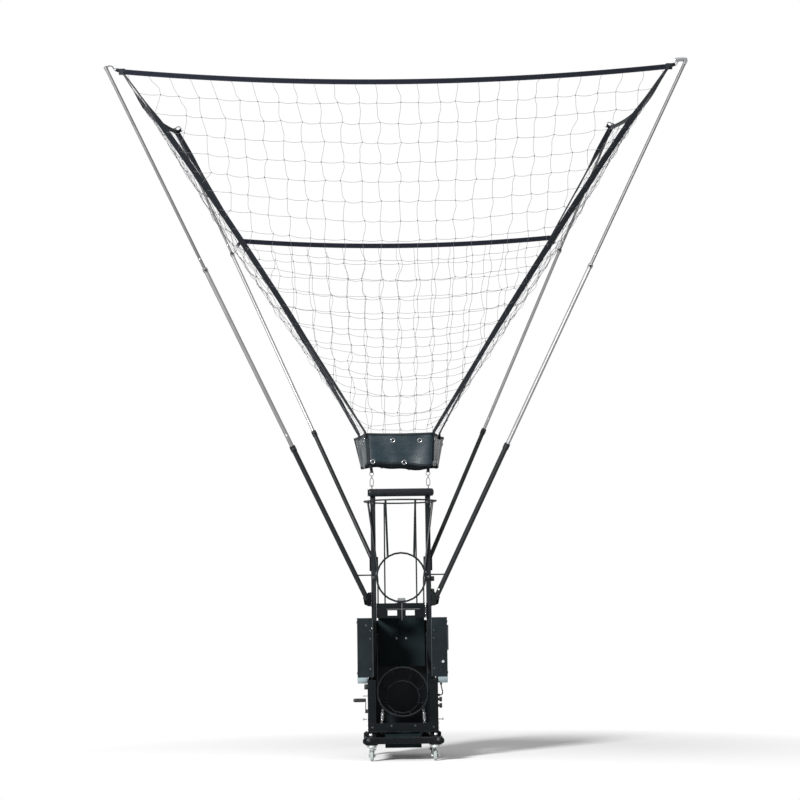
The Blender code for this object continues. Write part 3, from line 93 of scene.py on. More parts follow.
class Graph:
    """A node tree with short calls for the nodes that the finishes use."""

    def __init__(self, tree):
        self.tree = tree

    def put(self, kind, sockets=None, **settings):
        """A node with values or links for its inputs, by name or number, and its settings."""
        node = self.tree.nodes.new("ShaderNode" + kind)
        for key, value in settings.items():
            setattr(node, key, value)
        for key, value in (sockets or {}).items():
            self.feed(node.inputs[key], value)
        return node

    def feed(self, socket, value):
        """Links a value to an input, or sets it there."""
        if isinstance(value, bpy.types.NodeSocket):
            self.tree.links.new(value, socket)
        else:
            socket.default_value = value

    def maths(self, operation, first, second=0.0, clamp=False):
        node = self.put("Math", {0: first, 1: second}, operation=operation, use_clamp=clamp)
        return node.outputs[0]

    def plus(self, first, second, clamp=False):
        return self.maths("ADD", first, second, clamp)

    def minus(self, first, second):
        return self.maths("SUBTRACT", first, second)

    def times(self, first, second, clamp=False):
        return self.maths("MULTIPLY", first, second, clamp)

    def sine(self, value, scale):
        return self.maths("SINE", self.times(value, scale))

    def size_of(self, value):
        return self.maths("ABSOLUTE", value)

    def noise(self, vector, scale, detail=3.0, rough=0.5):
        return self.put("TexNoise", {"Vector": vector, "Scale": scale, "Detail": detail,
                                     "Roughness": rough}).outputs["Fac"]

    def stretched(self, vector, scales, detail, rough):
        """Noise that is drawn out, by its own scale along each axis."""
        longer = self.put("VectorMath", {0: vector, 1: scales}, operation="MULTIPLY")
        return self.noise(longer.outputs[0], 1.0, detail, rough)

    def spread(self, value, low, high, to_low=0.0, to_high=1.0):
        """Maps low..high to to_low..to_high, held at both ends."""
        return self.put("MapRange", {"Value": value, "From Min": low, "From Max": high,
                                     "To Min": to_low, "To Max": to_high}).outputs[0]

    def mixed(self, share, first, second):
        return self.put("Mix", {0: share, 6: first, 7: second}, data_type="RGBA").outputs[2]

    def seen_share(self, strength):
        """A strength for rays from the camera, mirrors and glass, and 0 for the rest."""
        rays = self.put("LightPath").outputs
        mirror = self.maths("MAXIMUM", rays["Is Camera Ray"], rays["Is Glossy Ray"])
        return self.times(self.maths("MAXIMUM", mirror, rays["Is Transmission Ray"]), strength)


class Group(Graph):
    """A shader group. Its inputs are colours, numbers, or None for a vector."""

    def __init__(self, name, inputs):
        super().__init__(bpy.data.node_groups.new(name, "ShaderNodeTree"))
        for label, value in inputs.items():
            kind = "Vector" if value is None else "Float" if isinstance(value, float) else "Color"
            socket = self.socket(label, "INPUT", kind)
            if value is not None:
                socket.default_value = value
        for label, kind in (("Colour", "Color"), ("Roughness", "Float"), ("Height", "Float")):
            self.socket(label, "OUTPUT", kind)
        self.given = self.tree.nodes.new("NodeGroupInput").outputs
        self.result = self.tree.nodes.new("NodeGroupOutput").inputs

    def socket(self, label, way, kind):
        return self.tree.interface.new_socket(label, in_out=way, socket_type="NodeSocket" + kind)

    def rough_by(self, share):
        """A roughness between the group's low and high one."""
        low = self.given["Low Roughness"]
        return self.plus(self.times(share, self.minus(self.given["High Roughness"], low)), low)

    def give(self, colour, rough, height):
        for socket, value in zip(self.result, (colour, rough, height)):
            self.feed(socket, value)
        return self.tree


# Camera, light and floor

LENS = 97.87
EYE = (-0.1117, -11.098, 0.7068)
EYE_TURNS = ((-0.610, "Z"), (95.695, "X"), (-0.730, "Z"))  # yaw, pitch and roll in degrees
WORLD_LEVEL = 0.32


def add_camera():
    """Front view from low down, turned a little as in the photograph."""
    data = bpy.data.cameras.new("front_camera")
    data.lens = LENS
    data.sensor_width = 36.0
    data.clip_end = 100.0
    camera = bpy.data.objects.new("front_camera", data)
    SCENE.collection.objects.link(camera)
    yaw, pitch, roll = (Matrix.Rotation(math.radians(angle), 4, axis) for angle, axis in EYE_TURNS)
    camera.matrix_world = Matrix.Translation(EYE) @ yaw @ pitch @ roll
    SCENE.camera = camera


def aim_lamp(name, place, target, size, power):
    """A soft round lamp."""
    data = bpy.data.lights.new(name, "AREA")
    data.shape = "DISK"
    data.size = size
    data.energy = power
    lamp = bpy.data.objects.new(name, data)
    SCENE.collection.objects.link(lamp)
    aim = (Vector(target) - Vector(place)).to_track_quat("-Z", "Y").to_matrix().to_4x4()
    lamp.matrix_world = Matrix.Translation(place) @ aim


def add_studio():
    """White surroundings, two soft lamps and a pale floor that keeps the shadow."""
    world = bpy.data.worlds.new("studio")
    SCENE.world = world
    world.use_nodes = True
    g = Graph(world.node_tree)
    background = g.tree.nodes["Background"].inputs
    background["Color"].default_value = WHITE
    g.feed(background["Strength"], g.plus(g.seen_share(1 - WORLD_LEVEL), WORLD_LEVEL))
    aim_lamp("key_lamp", (-3.7, -6.5, 3.3), (0, 0, 0.7), 1.5, 1330)
    aim_lamp("top_lamp", (1.5, -2.0, 7.5), (0, 0, 1.0), 4.0, 60)

    bpy.ops.object.select_all(action="DESELECT")
    bpy.ops.mesh.primitive_plane_add(size=60, location=(0, 0, -0.0006))
    floor = bpy.context.object
    floor.name = "floor"
    material = bpy.data.materials.new("pale_floor")
    material.use_nodes = True
    g = Graph(material.node_tree)
    shader = g.tree.nodes["Principled BSDF"].inputs
    shader["Roughness"].default_value = 0.9
    shader["Specular IOR Level"].default_value = 0.0
    shader["Emission Color"].default_value = WHITE
    place = g.put("TexCoord").outputs["Object"]
    reach = g.put("VectorMath", {0: place, 1: (0.35, 0.35, 0)}, operation="DISTANCE")
    far = g.spread(reach.outputs["Value"], 1.0, 2.3)
    seen = g.seen_share(1.0)
    g.feed(shader["Base Color"], g.mixed(g.times(far, seen), (0.80, 0.80, 0.80, 1), BLACK))
    g.feed(shader["Emission Strength"], g.times(seen, g.spread(far, 0.0, 1.0, 0.06, 1.0)))
    floor.data.materials.append(material)


# Shared effects

def make_coat_group():
    """Painted sheet and tube: mottled colour, worn edges, dust on top, orange-peel grain."""
    g = Group("coat_finish", {
        "Vector": None, "Colour": (0.01, 0.013, 0.016, 1), "Worn Colour": (0.10, 0.11, 0.12, 1),
        "Dust Colour": (0.30, 0.30, 0.29, 1), "Grain Scale": 900.0, "Edge Width": 0.0016,
        "Wear": 0.6, "Dust": 0.15, "Low Roughness": 0.34, "High Roughness": 0.52})
    vector = g.given["Vector"]
    cloud = g.noise(vector, 7.0, 5.0, 0.6)
    fine = g.noise(vector, 60.0, 4.0, 0.6)
    grain = g.noise(vector, g.given["Grain Scale"], 2.0)
    shade = g.spread(cloud, 0.3, 0.7, 0.78, 1.28)
    tone = g.put("VectorMath", {0: g.given["Colour"], "Scale": shade}, operation="SCALE")
    facing = g.put("NewGeometry").outputs["Normal"]
    rounded = g.put("Bevel", {"Radius": g.given["Edge Width"]}, samples=4).outputs[0]
    dot = g.put("VectorMath", {0: rounded, 1: facing}, operation="DOT_PRODUCT")
    edge = g.spread(dot.outputs["Value"], 0.995, 0.86)
    mask = g.times(g.times(edge, g.spread(fine, 0.42, 0.62)), g.given["Wear"], True)
    worn = g.mixed(mask, tone.outputs[0], g.given["Worn Colour"])
    facing_up = g.spread(g.put("SeparateXYZ", {0: facing}).outputs["Z"], 0.35, 0.95)
    settled = g.times(facing_up, g.spread(cloud, 0.35, 0.65, 0.35, 1.0))
    film = g.times(g.spread(fine, 0.45, 0.75), 0.06)
    dust = g.times(g.plus(settled, film), g.given["Dust"], True)
    rough = g.plus(g.rough_by(g.spread(cloud, 0.3, 0.7)), g.times(dust, 0.4), True)
    return g.give(g.mixed(dust, worn, g.given["Dust Colour"]), rough,
                  g.minus(grain, g.times(mask, 0.6)))


def make_drawn_group():
    """Drawn tube: fine streaks along its length, handling marks and rings from sliding."""
    g = Group("drawn_tube", {
        "Vector": None, "Colour": (0.6, 0.6, 0.6, 1), "Mark Colour": (0.25, 0.25, 0.25, 1),
        "Marks": 0.5, "Low Roughness": 0.2, "High Roughness": 0.4})
    vector = g.given["Vector"]
    streak = g.stretched(vector, (420, 420, 5), 4.0, 0.65)
    blot = g.stretched(vector, (26, 26, 9), 4.0, 0.6)
    rings = g.stretched(vector, (3, 3, 46), 2.0, 0.5)
    scuff = g.times(g.spread(rings, 0.55, 0.80), g.spread(blot, 0.50, 0.68, 0, 0.4))
    dull = g.plus(g.times(g.spread(streak, 0.5, 0.72), 0.5), scuff)
    marks = g.times(dull, g.given["Marks"], True)
    rough = g.plus(g.rough_by(g.spread(blot, 0.3, 0.7)), g.times(marks, 0.25), True)
    return g.give(g.mixed(marks, g.given["Colour"], g.given["Mark Colour"]), rough,
                  g.plus(streak, g.times(scuff, 0.5)))


def make_web_group():
    """Webbing: ribs across the strap and fine warp lines along it, their raised parts painted
    lighter as painted light, and two rows of stitching.
    """
    g = Group("web_weave", {
        "Run": None, "Colour": (0.014, 0.018, 0.034, 1), "Painted Light Colour": (0.05, 0.06, 0.09, 1),
        "Thread Colour": (0.09, 0.10, 0.13, 1), "Half Width": 0.012})
    split = g.put("SeparateXYZ", {0: g.given["Run"]}).outputs
    along, across = split["X"], split["Y"]
    warp = g.sine(across, 5200.0)
    slant = g.size_of(across)
    ribs = g.sine(g.plus(along, slant), 2900.0)
    weave = g.times(g.plus(warp, 1.2), g.plus(ribs, 1.2))
    wear = g.noise(g.given["Run"], 38.0, 4.0, 0.6)
    # The weave's raised parts are painted lighter and its dips darker: painted light and shade that
    # follows the relief, varied by the wear noise.
    pale = g.times(g.spread(weave, 0.6, 4.2), g.spread(wear, 0.3, 0.7, 0.35, 1.0))
    cloth = g.mixed(pale, g.given["Colour"], g.given["Painted Light Colour"])
    away = g.size_of(g.minus(slant, g.minus(g.given["Half Width"], 0.0032)))
    dash = g.spread(g.sine(along, 1800.0), -0.45, -0.15)
    stitch = g.times(g.spread(away, 0.00075, 0.00045), dash)
    return g.give(g.mixed(stitch, cloth, g.given["Thread Colour"]),
                  g.spread(wear, 0.3, 0.7, 0.72, 0.9), g.plus(g.times(weave, 0.2), stitch))


def make_twist_group():
    """Laid cord: strands that turn round it, with fuzz, uneven dye, and painted light and shade:
    lighter crests and darker grooves between the strands.
    """
    g = Group("laid_cord", {
        "Run": None, "Vector": None, "Colour": (0.05, 0.05, 0.06, 1),
        "Painted Light Colour": (0.12, 0.12, 0.13, 1), "Lay Length": 0.009})
    split = g.put("SeparateXYZ", {0: g.given["Run"]}).outputs
    turns = g.plus(g.maths("DIVIDE", split["X"], g.given["Lay Length"]), split["Y"])
    lay = g.sine(turns, 3 * 2 * math.pi)
    dye = g.noise(g.given["Vector"], 24.0, 3.0, 0.6)
    fuzz = g.noise(g.given["Vector"], 1400.0, 2.0)
    # Lighter on each strand's crest and darker in the grooves between strands, following the lay:
    # painted light and shade, varied by the uneven dye.
    light = g.times(g.spread(lay, -1.0, 1.0), g.spread(dye, 0.3, 0.7, 0.5, 1.0))
    return g.give(g.mixed(light, g.given["Colour"], g.given["Painted Light Colour"]),
                  g.spread(fuzz, 0.3, 0.7, 0.7, 0.95), g.plus(lay, g.times(fuzz, 0.5)))


def make_vinyl_group():
    """Coated cloth: pebbled grain, soft creases and rubbed high spots."""
    g = Group("vinyl_skin", {
        "Vector": None, "Colour": (0.012, 0.026, 0.034, 1),
        "Rubbed Colour": (0.10, 0.13, 0.145, 1), "Rubbed": 0.5, "Grain Scale": 620.0,
        "Low Roughness": 0.3, "High Roughness": 0.5})
    vector = g.given["Vector"]
    pebble = g.put("TexVoronoi", {"Vector": vector, "Scale": g.given["Grain Scale"]},
                   feature="SMOOTH_F1").outputs["Distance"]
    crease = g.stretched(vector, (14, 14, 30), 5.0, 0.62)
    line = g.spread(g.size_of(g.minus(crease, 0.5)), 0.035, 0.0)
    cloud = g.noise(vector, 11.0, 4.0, 0.6)
    high = g.plus(g.times(line, 0.5), g.spread(cloud, 0.55, 0.75))
    rubbed = g.times(high, g.given["Rubbed"], True)
    height = g.plus(g.times(pebble, 0.35), g.times(crease, 2.2))
    return g.give(g.mixed(rubbed, g.given["Colour"], g.given["Rubbed Colour"]),
                  g.rough_by(g.spread(cloud, 0.3, 0.7)), g.minus(height, g.times(line, 0.25)))


GROUPS = {
    "coat": make_coat_group(),
    "drawn": make_drawn_group(),
    "web": make_web_group(),
    "twist": make_twist_group(),
    "vinyl": make_vinyl_group(),
}


# Finishes

def finish_of(name, group, values, bump=0.1, distance=0.0006, vectors=("Vector",), turn=None,
              **constants):
    """A material whose colour, roughness and grain come from one of the groups."""
    material = bpy.data.materials.new(name)
    material.use_nodes = True
    g = Graph(material.node_tree)
    shader = g.tree.nodes["Principled BSDF"].inputs
    for label, value in constants.items():
        shader[label.replace("_", " ")].default_value = value
    sockets = {label: (*value, 1.0) if hasattr(value, "__len__") else value
               for label, value in values.items()}
    place = g.put("TexCoord").outputs
    if "Vector" in vectors:
        sockets["Vector"] = place["Object"]
        if turn is not None:
            turned = g.put("Mapping", {"Rotation": turn, "Vector": place["Object"]})
            sockets["Vector"] = turned.outputs["Vector"]
    if "Run" in vectors:
        sockets["Run"] = place["UV"]
    effect = g.put("Group", sockets, node_tree=GROUPS[group]).outputs
    relief = g.put("Bump", {"Strength": bump, "Distance": distance, "Height": effect["Height"]})
    g.feed(shader["Base Color"], effect["Colour"])
    g.feed(shader["Roughness"], effect["Roughness"])
    g.feed(shader["Normal"], relief.outputs["Normal"])
    return material


def coat(name, colour, worn=(0.075, 0.082, 0.088), wear=0.5, dust=0.05, rough=(0.34, 0.52),
         grain=900.0, edge=0.0016, shine=0.13, bump=0.12, metallic=0.0):
    values = {"Colour": colour, "Worn Colour": worn, "Wear": wear, "Dust": dust,
              "Low Roughness": rough[0], "High Roughness": rough[1], "Grain Scale": grain,
              "Edge Width": edge}
    return finish_of(name, "coat", values, bump=bump, Specular_IOR_Level=shine, Metallic=metallic)


FINISH = {
    "frame": coat("frame_powder_coat", (0.0018, 0.0028, 0.0033), shine=0.06, dust=0.03),
    "cover": coat("cover_sheet_paint", (0.0028, 0.0055, 0.0072), rough=(0.28, 0.42), grain=700.0,
                  wear=0.35),
    "bay": coat("bay_wall_paint", (0.0036, 0.0078, 0.0090), rough=(0.45, 0.6), wear=0.2,
                shine=0.06),
    "column": coat("column_gloss_paint", (0.0042, 0.0060, 0.0072), rough=(0.26, 0.40), wear=0.6,
                   edge=0.0012),
    "cage": coat("cage_wire_dip", (0.0045, 0.0064, 0.0074), rough=(0.25, 0.4), wear=0.35,
                 edge=0.0006),
    "edge": coat("rolled_edge_gloss", (0.010, 0.014, 0.017), rough=(0.18, 0.30), shine=0.45,
                 wear=0.6),
    "base": coat("base_beam_paint", (0.0020, 0.0028, 0.0032), rough=(0.35, 0.55), dust=0.06,
                 wear=0.6, shine=0.06),
    # Grey of the strips on the covers' lower chamfers: the painted reflection of the pale floor in
    # the covers' black paint.
    "floor_reflection_strip": coat("foot_strip_grey_paint", (0.20, 0.25, 0.265), worn=(0.34, 0.36, 0.36),
                       rough=(0.35, 0.5), wear=0.5, shine=0.4),
    "plastic": coat("moulded_black_plastic", (0.0065, 0.0072, 0.0078), worn=(0.05, 0.05, 0.055),
                    rough=(0.38, 0.55), grain=1500.0, wear=0.4, shine=0.2, bump=0.2),
    "caster": coat("caster_zinc_fork", (0.25, 0.28, 0.27), worn=(0.42, 0.44, 0.43), wear=0.5,
                   rough=(0.30, 0.48), grain=500.0, dust=0.2, shine=0.5, metallic=0.35),
    "wheel": coat("wheel_grey_tread", (0.235, 0.262, 0.250), worn=(0.34, 0.36, 0.35), wear=0.7,
                  rough=(0.5, 0.7), grain=800.0, dust=0.35, shine=0.35, bump=0.2),
    "button": coat("button_grey_plastic", (0.24, 0.26, 0.27), worn=(0.4, 0.4, 0.4), wear=0.3,
                   rough=(0.35, 0.5), grain=1500.0, shine=0.3),
    "motor": coat("motor_cast_housing", (0.13, 0.135, 0.14), worn=(0.4, 0.4, 0.4), wear=0.6,
                  rough=(0.4, 0.6), grain=350.0, dust=0.2, shine=0.5, bump=0.35, metallic=0.6),
    "bright_bolt": coat("bolt_zinc_plate", (0.62, 0.63, 0.62), worn=(0.78, 0.78, 0.77), wear=0.4,
                        rough=(0.25, 0.42), grain=1200.0, dust=0.12, shine=0.5, metallic=0.9),
    "dark_bolt": coat("bolt_black_oxide", (0.015, 0.017, 0.019), worn=(0.16, 0.16, 0.16), wear=0.6,
                      rough=(0.3, 0.5), grain=1200.0, shine=0.3, metallic=0.3),
    "grey_rubber": coat("lip_grey_rubber", (0.20, 0.21, 0.215), worn=(0.34, 0.34, 0.34), wear=0.3,
                        rough=(0.6, 0.8), grain=1300.0, dust=0.2, shine=0.3, bump=0.3),
    "chrome": finish_of("chrome_plate", "drawn",
                        {"Colour": (0.30, 0.31, 0.32), "Mark Colour": (0.14, 0.15, 0.16),
                         "Marks": 0.35, "Low Roughness": 0.10, "High Roughness": 0.24},
                        bump=0.05, Metallic=1.0),
    "vinyl": finish_of("funnel_vinyl", "vinyl",
                       {"Colour": (0.0048, 0.0120, 0.0165), "Rubbed Colour": (0.022, 0.034, 0.040),
                        "Rubbed": 0.30}, bump=0.4, distance=0.0016, Specular_IOR_Level=0.22,
                       Coat_Weight=0.05, Coat_Roughness=0.25),
    "binding": finish_of("funnel_edge_binding", "vinyl",
                         {"Colour": (0.0040, 0.0062, 0.0080), "Rubbed Colour": (0.02, 0.024, 0.028),
                          "Grain Scale": 1500.0, "Low Roughness": 0.55, "High Roughness": 0.75},
                         bump=0.35, distance=0.0008, Specular_IOR_Level=0.12),
    "cable": finish_of("cable_rubber_jacket", "vinyl",
                       {"Colour": (0.0070, 0.0070, 0.0075), "Rubbed Colour": (0.03, 0.03, 0.03),
                        "Grain Scale": 2400.0, "Low Roughness": 0.45, "High Roughness": 0.62},
                       bump=0.25, distance=0.0004, Specular_IOR_Level=0.25),
    # The webbing's lighter colour is painted light on its raised weave.
    "band": finish_of("band_webbing", "web",
                      {"Half Width": BAND_WIDTH / 2, "Colour": (0.0034, 0.0044, 0.0082),
                       "Painted Light Colour": (0.009, 0.011, 0.018),
                       "Thread Colour": (0.022, 0.025, 0.034)},
                      bump=0.6, distance=0.0006, vectors=("Run",), Specular_IOR_Level=0.1,
                      Sheen_Weight=0.08, Sheen_Roughness=0.4),
    "strap": finish_of("strap_webbing", "web",
                       {"Half Width": STRAP_WIDTH / 2, "Colour": (0.0030, 0.0040, 0.0055),
                        "Painted Light Colour": (0.009, 0.011, 0.014),
                        "Thread Colour": (0.020, 0.023, 0.028)},
                       bump=0.6, distance=0.0006, vectors=("Run",), Specular_IOR_Level=0.1,
                       Sheen_Weight=0.08, Sheen_Roughness=0.4),
    "twine": finish_of("net_twine", "twist", {}, bump=0.7, distance=0.0004,
                       vectors=("Vector", "Run"), Specular_IOR_Level=0.2),
}


# Piece helpers

def only(*pieces):
    """Selects these objects alone, the first one active."""
    bpy.ops.object.select_all(action="DESELECT")
    for piece in pieces:
        piece.select_set(True)
    bpy.context.view_layer.objects.active = pieces[0]


def applied(piece):
    """Makes a piece's modifiers and its place part of its mesh."""
    only(piece)
    for modifier in list(piece.modifiers):
        bpy.ops.object.modifier_apply(modifier=modifier.name)
    bpy.ops.object.transform_apply(location=True, rotation=True, scale=True)
    return piece


def wear_finish(piece, finish):
    piece.data.materials.clear()
    piece.data.materials.append(FINISH[finish])


def dressed(piece, name, finish):
    """Gives a piece its name and finish."""
    piece.name = name
    piece.data.name = name
    wear_finish(piece, finish)
    return piece


def placed(piece, name, finish, body=FRAME):
    """Completes a piece: applied, dressed, and riding on its body."""
    dressed(applied(piece), name, finish)
    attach(piece, body)
    return piece


def joined(pieces):
    """Several objects as one mesh."""
    only(*pieces)
    if len(pieces) > 1:
        bpy.ops.object.join()
    return pieces[0]


def turned_to(axis):
    """Rotation that takes +Z to an axis."""
    return Vector(axis).to_track_quat("Z", "Y").to_matrix().to_4x4()


def stood(piece, place, axis=TOP):
    """Stands a piece made at the origin along +Z at a place, along an axis."""
    applied(piece).data.transform(Matrix.Translation(place) @ turned_to(axis))
    return piece


def smoothed(piece, angle=35):
    only(piece)
    bpy.ops.object.shade_smooth_by_angle(angle=math.radians(angle))
    return piece


def pick_faces(piece, test):
    """Goes into edit mode with only the faces selected whose centre and normal pass a test."""
    only(piece)
    bpy.ops.object.mode_set(mode="EDIT")
    bpy.ops.mesh.select_mode(type="FACE")
    bpy.ops.mesh.select_all(action="DESELECT")
    bpy.ops.object.mode_set(mode="OBJECT")
    for face in piece.data.polygons:
        face.select = bool(test(face.center, face.normal))
    bpy.ops.object.mode_set(mode="EDIT")


def sink_faces(thickness, depth):
    """Insets the selected faces and pushes them down."""
    bpy.ops.mesh.inset(thickness=thickness)
    bpy.ops.mesh.extrude_region_move(TRANSFORM_OT_translate={"value": (0, 0, -depth)})
    leave_edit()


def leave_edit():
    bpy.ops.object.mode_set(mode="OBJECT")


def drum(radius, height, sides=24, edge=0.0005, dish=0.0, dish_share=0.6):
    """A short round or many-sided head with a rounded rim and an optional dished top."""
    bpy.ops.object.select_all(action="DESELECT")
    bpy.ops.mesh.primitive_cylinder_add(
        vertices=sides, radius=radius, depth=height, location=(0, 0, height / 2)
    )
    piece = applied(bpy.context.object)
    pick_faces(piece, lambda centre, normal: normal.z > 0.99)
    bpy.ops.mesh.region_to_loop()
    bpy.ops.mesh.bevel(offset=edge, segments=2)
    leave_edit()
    if dish:
        pick_faces(piece, lambda centre, normal: normal.z > 0.99
                   and centre.xy.length < radius * 0.3)
        sink_faces(radius * (1 - dish_share), dish)
    return piece


def post(radius, height, place, axis, sides=24, edge=0.0005):
    """A drum that stands at a place along an axis."""
    return stood(smoothed(drum(radius, height, sides, edge)), place, axis)


def bolt(place, axis, size=0.005, sides=6):
    """A bolt head on a washer, standing on a surface."""
    washer = drum(size * 1.85, size * 0.28, 24, size * 0.08)
    head = drum(size * 1.15, size * 0.95, sides, size * 0.16, dish=size * 0.12, dish_share=0.7)
    head.data.transform(Matrix.Translation((0, 0, size * 0.27)))
    return stood(smoothed(joined([washer, head])), place, axis)


def cap_screw(place, axis, size=0.004):
    """A round socket head."""
    head = drum(size * 1.5, size, 20, size * 0.14)
    pick_faces(head, lambda centre, normal: normal.z > 0.99 and centre.xy.length < size)
    sink_faces(size * 0.75, size * 0.55)
    return stood(smoothed(head), place, axis)


def ring(place, axis, radius, wire, steps=28, sides=8, flat=1.0):
    """A round ring of wire; flat below 1 makes an eyelet of rolled sheet."""
    bpy.ops.object.select_all(action="DESELECT")
    bpy.ops.mesh.primitive_torus_add(
        major_radius=radius, minor_radius=wire, major_segments=steps, minor_segments=sides
    )
    piece = bpy.context.object
    piece.data.transform(Matrix.Scale(flat, 4, (0, 0, 1)))
    return stood(smoothed(piece, 80), place, axis)


def rod(points, radius, sides=10):
    """Wire or tube bent through points, as a mesh with closed ends."""
    curve = bpy.data.curves.new("rod", "CURVE")
    curve.dimensions = "3D"
    curve.bevel_depth = radius
    curve.bevel_resolution = max(0, sides // 4 - 1)
    curve.use_fill_caps = True
    line = curve.splines.new("POLY")
    line.points.add(len(points) - 1)
    for target, point in zip(line.points, points):
        target.co = (*point, 1.0)
    line.use_smooth = True
    piece = bpy.data.objects.new("rod", curve)
    SCENE.collection.objects.link(piece)
    only(piece)
    bpy.ops.object.convert(target="MESH")
    return smoothed(bpy.context.object, 60)


def bent(controls, step=0.004):
    """Points of a smooth curve through control points, about a step apart."""
    controls = [Vector(c) for c in controls]
    ends = [controls[0] * 2 - controls[1], *controls, controls[-1] * 2 - controls[-2]]
    points = []
    for a, b, c, d in zip(ends, ends[1:], ends[2:], ends[3:]):
        count = max(1, round((c - b).length / step))
        for i in range(count):
            t = i / count
            points.append(0.5 * (2 * b + (c - a) * t + (2 * a - 5 * b + 4 * c - d) * t * t
                                 + (3 * b - a - 3 * c + d) * t ** 3))
    points.append(controls[-1])
    return points


def plate(low, high, edge=0.0008, segments=2):
    """A box of sheet or bar with rounded edges."""
    low, high = Vector(low), Vector(high)
    bpy.ops.object.select_all(action="DESELECT")
    bpy.ops.mesh.primitive_cube_add(size=1, location=(low + high) / 2)
    piece = bpy.context.object
    piece.scale = high - low
    applied(piece)
    bpy.ops.object.mode_set(mode="EDIT")
    bpy.ops.mesh.select_all(action="SELECT")
    bpy.ops.mesh.bevel(offset=edge, segments=segments, affect="EDGES")
    leave_edit()
    return smoothed(piece, 40)


def sided(point, side):
    """A place or direction of the right side, or its mirror on the left."""
    return Vector((point[0] * side, point[1], point[2]))


def between(a, b, count):
    """Points on a straight line, in equal steps."""
    return [Vector(a).lerp(Vector(b), i / count) for i in range(count + 1)]


# Strands and straps

STRAY = Vector((0.31, 0.87, 0.38))  # a direction that no strand runs in
KNOT_RINGS = ((-0.62, 0.70), (0.0, 1.0), (0.62, 0.70))  # height and width, in knot sizes
KNOT_END = 1.15


class Strands:
    """Gathers round strands, flat straps and knots into one mesh with a run map in metres."""

    def __init__(self):
        self.points = []
        self.faces = []
        self.maps = []

    def sweep(self, path, section, run=0.0, wide=None, turn=None):
        """Sweeps a closed section of (across, out) along a path; ends are closed."""
        count = len(section)
        base = len(self.points)
        last_across = STRAY
        runs = []
        for i, point in enumerate(path):
            before, after = path[max(i - 1, 0)], path[min(i + 1, len(path) - 1)]
            ahead = (after - before).normalized()
            if i:
                run += (point - path[i - 1]).length
            runs.append(run)
            guide = wide if wide is not None else last_across
            across = (guide - ahead * guide.dot(ahead)).normalized()
            last_across = across
            if turn is not None:
                across = Matrix.Rotation(turn(i / (len(path) - 1)), 3, ahead) @ across
            out = ahead.cross(across)
            for a, b in section:
                self.points.append(point + across * a + out * b)
        flat = wide is not None
        for i in range(len(path) - 1):
            for k in range(count):
                n = (k + 1) % count
                a = base + i * count
                b = a + count
                self.faces.append((a + k, a + n, b + n, b + k))
                if flat:
                    u, v = section[k][0], section[n][0]
                else:
                    u, v = k / count, (k + 1) / count
                self.maps += [(runs[i], u), (runs[i], v), (runs[i + 1], v), (runs[i + 1], u)]
        last = base + (len(path) - 1) * count
        self.faces.append(tuple(base + k for k in reversed(range(count))))
        self.maps += [(runs[0], 0.0)] * count
        self.faces.append(tuple(last + k for k in range(count)))
        self.maps += [(runs[-1], 0.0)] * count
        return run

    def strand(self, path, radius, sides=4):
        angles = [2 * math.pi * k / sides for k in range(sides)]
        self.sweep(path, [(radius * math.cos(angle), radius * math.sin(angle)) for angle in angles])

    def knot(self, centre, size, along):
        """An uneven low knot: three stacked rings between two points."""
        base = len(self.points)
        turn = turned_to(along).to_3x3()
        tilt = DICE.uniform(0, math.pi)
        self.points.append(centre - turn @ Vector((0, 0, size * KNOT_END)))
        for height, width in KNOT_RINGS:
            for k in range(5):
                angle = tilt + 2 * math.pi * k / 5 + height * 0.6
                bulge = size * width * (1.0 + 0.22 * math.cos(2 * angle))
                offset = Vector((bulge * math.cos(angle), bulge * math.sin(angle), size * height))
                self.points.append(centre + turn @ offset)
        self.points.append(centre + turn @ Vector((0, 0, size * KNOT_END)))
        top = base + 16
        for k in range(5):
            n = (k + 1) % 5
            self.faces.append((base, base + 1 + n, base + 1 + k))
            self.faces.append((top, base + 11 + k, base + 11 + n))
            for low in (base + 1, base + 6):
                self.faces.append((low + k, low + n, low + 5 + n, low + 5 + k))
            self.maps += [(0.0, k / 5)] * 14

    def piece(self, name, finish, slot, smooth=50):
        data = bpy.data.meshes.new(name)
        data.from_pydata([tuple(p) for p in self.points], [], self.faces)
        layer = data.uv_layers.new(name="run")
        for loop, pair in zip(layer.data, self.maps):
            loop.uv = pair
        made = bpy.data.objects.new(name, data)
        SCENE.collection.objects.link(made)
        return placed(smoothed(made, smooth), name, finish)


def strap_section(width, thickness=WEB_THICKNESS):
    """Section of flat webbing with rounded edges."""
    w, t = width / 2, thickness / 2
    return [(-w, 0), (-w + t, -t), (-w / 3, -t), (w / 3, -t), (w - t, -t), (w, 0), (w - t, t),
            (w / 3, t), (-w / 3, t), (-w + t, t)]


def ribbon(name, path, size, wide, finish, run=0.0, turn=None, slot="webbing"):
    """Webbing or binding of a width and thickness, laid along a path."""
    strands = Strands()
    strands.sweep(path, strap_section(*size), run, wide, turn)
    return strands.piece(name, finish, slot)


def gather(piece, top, target, foot):
    """Works out how far a soft piece would move towards its foot as the poles come down, and gives
    it its own mesh; the piece is not moved or crumpled.
    """
    move = Vector(top) - Vector(target)
    axis = move.normalized()
    keep = 1 - move.length / (Vector(top) - Vector(foot)).dot(axis)
    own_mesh(piece)
    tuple(foot)


# Net

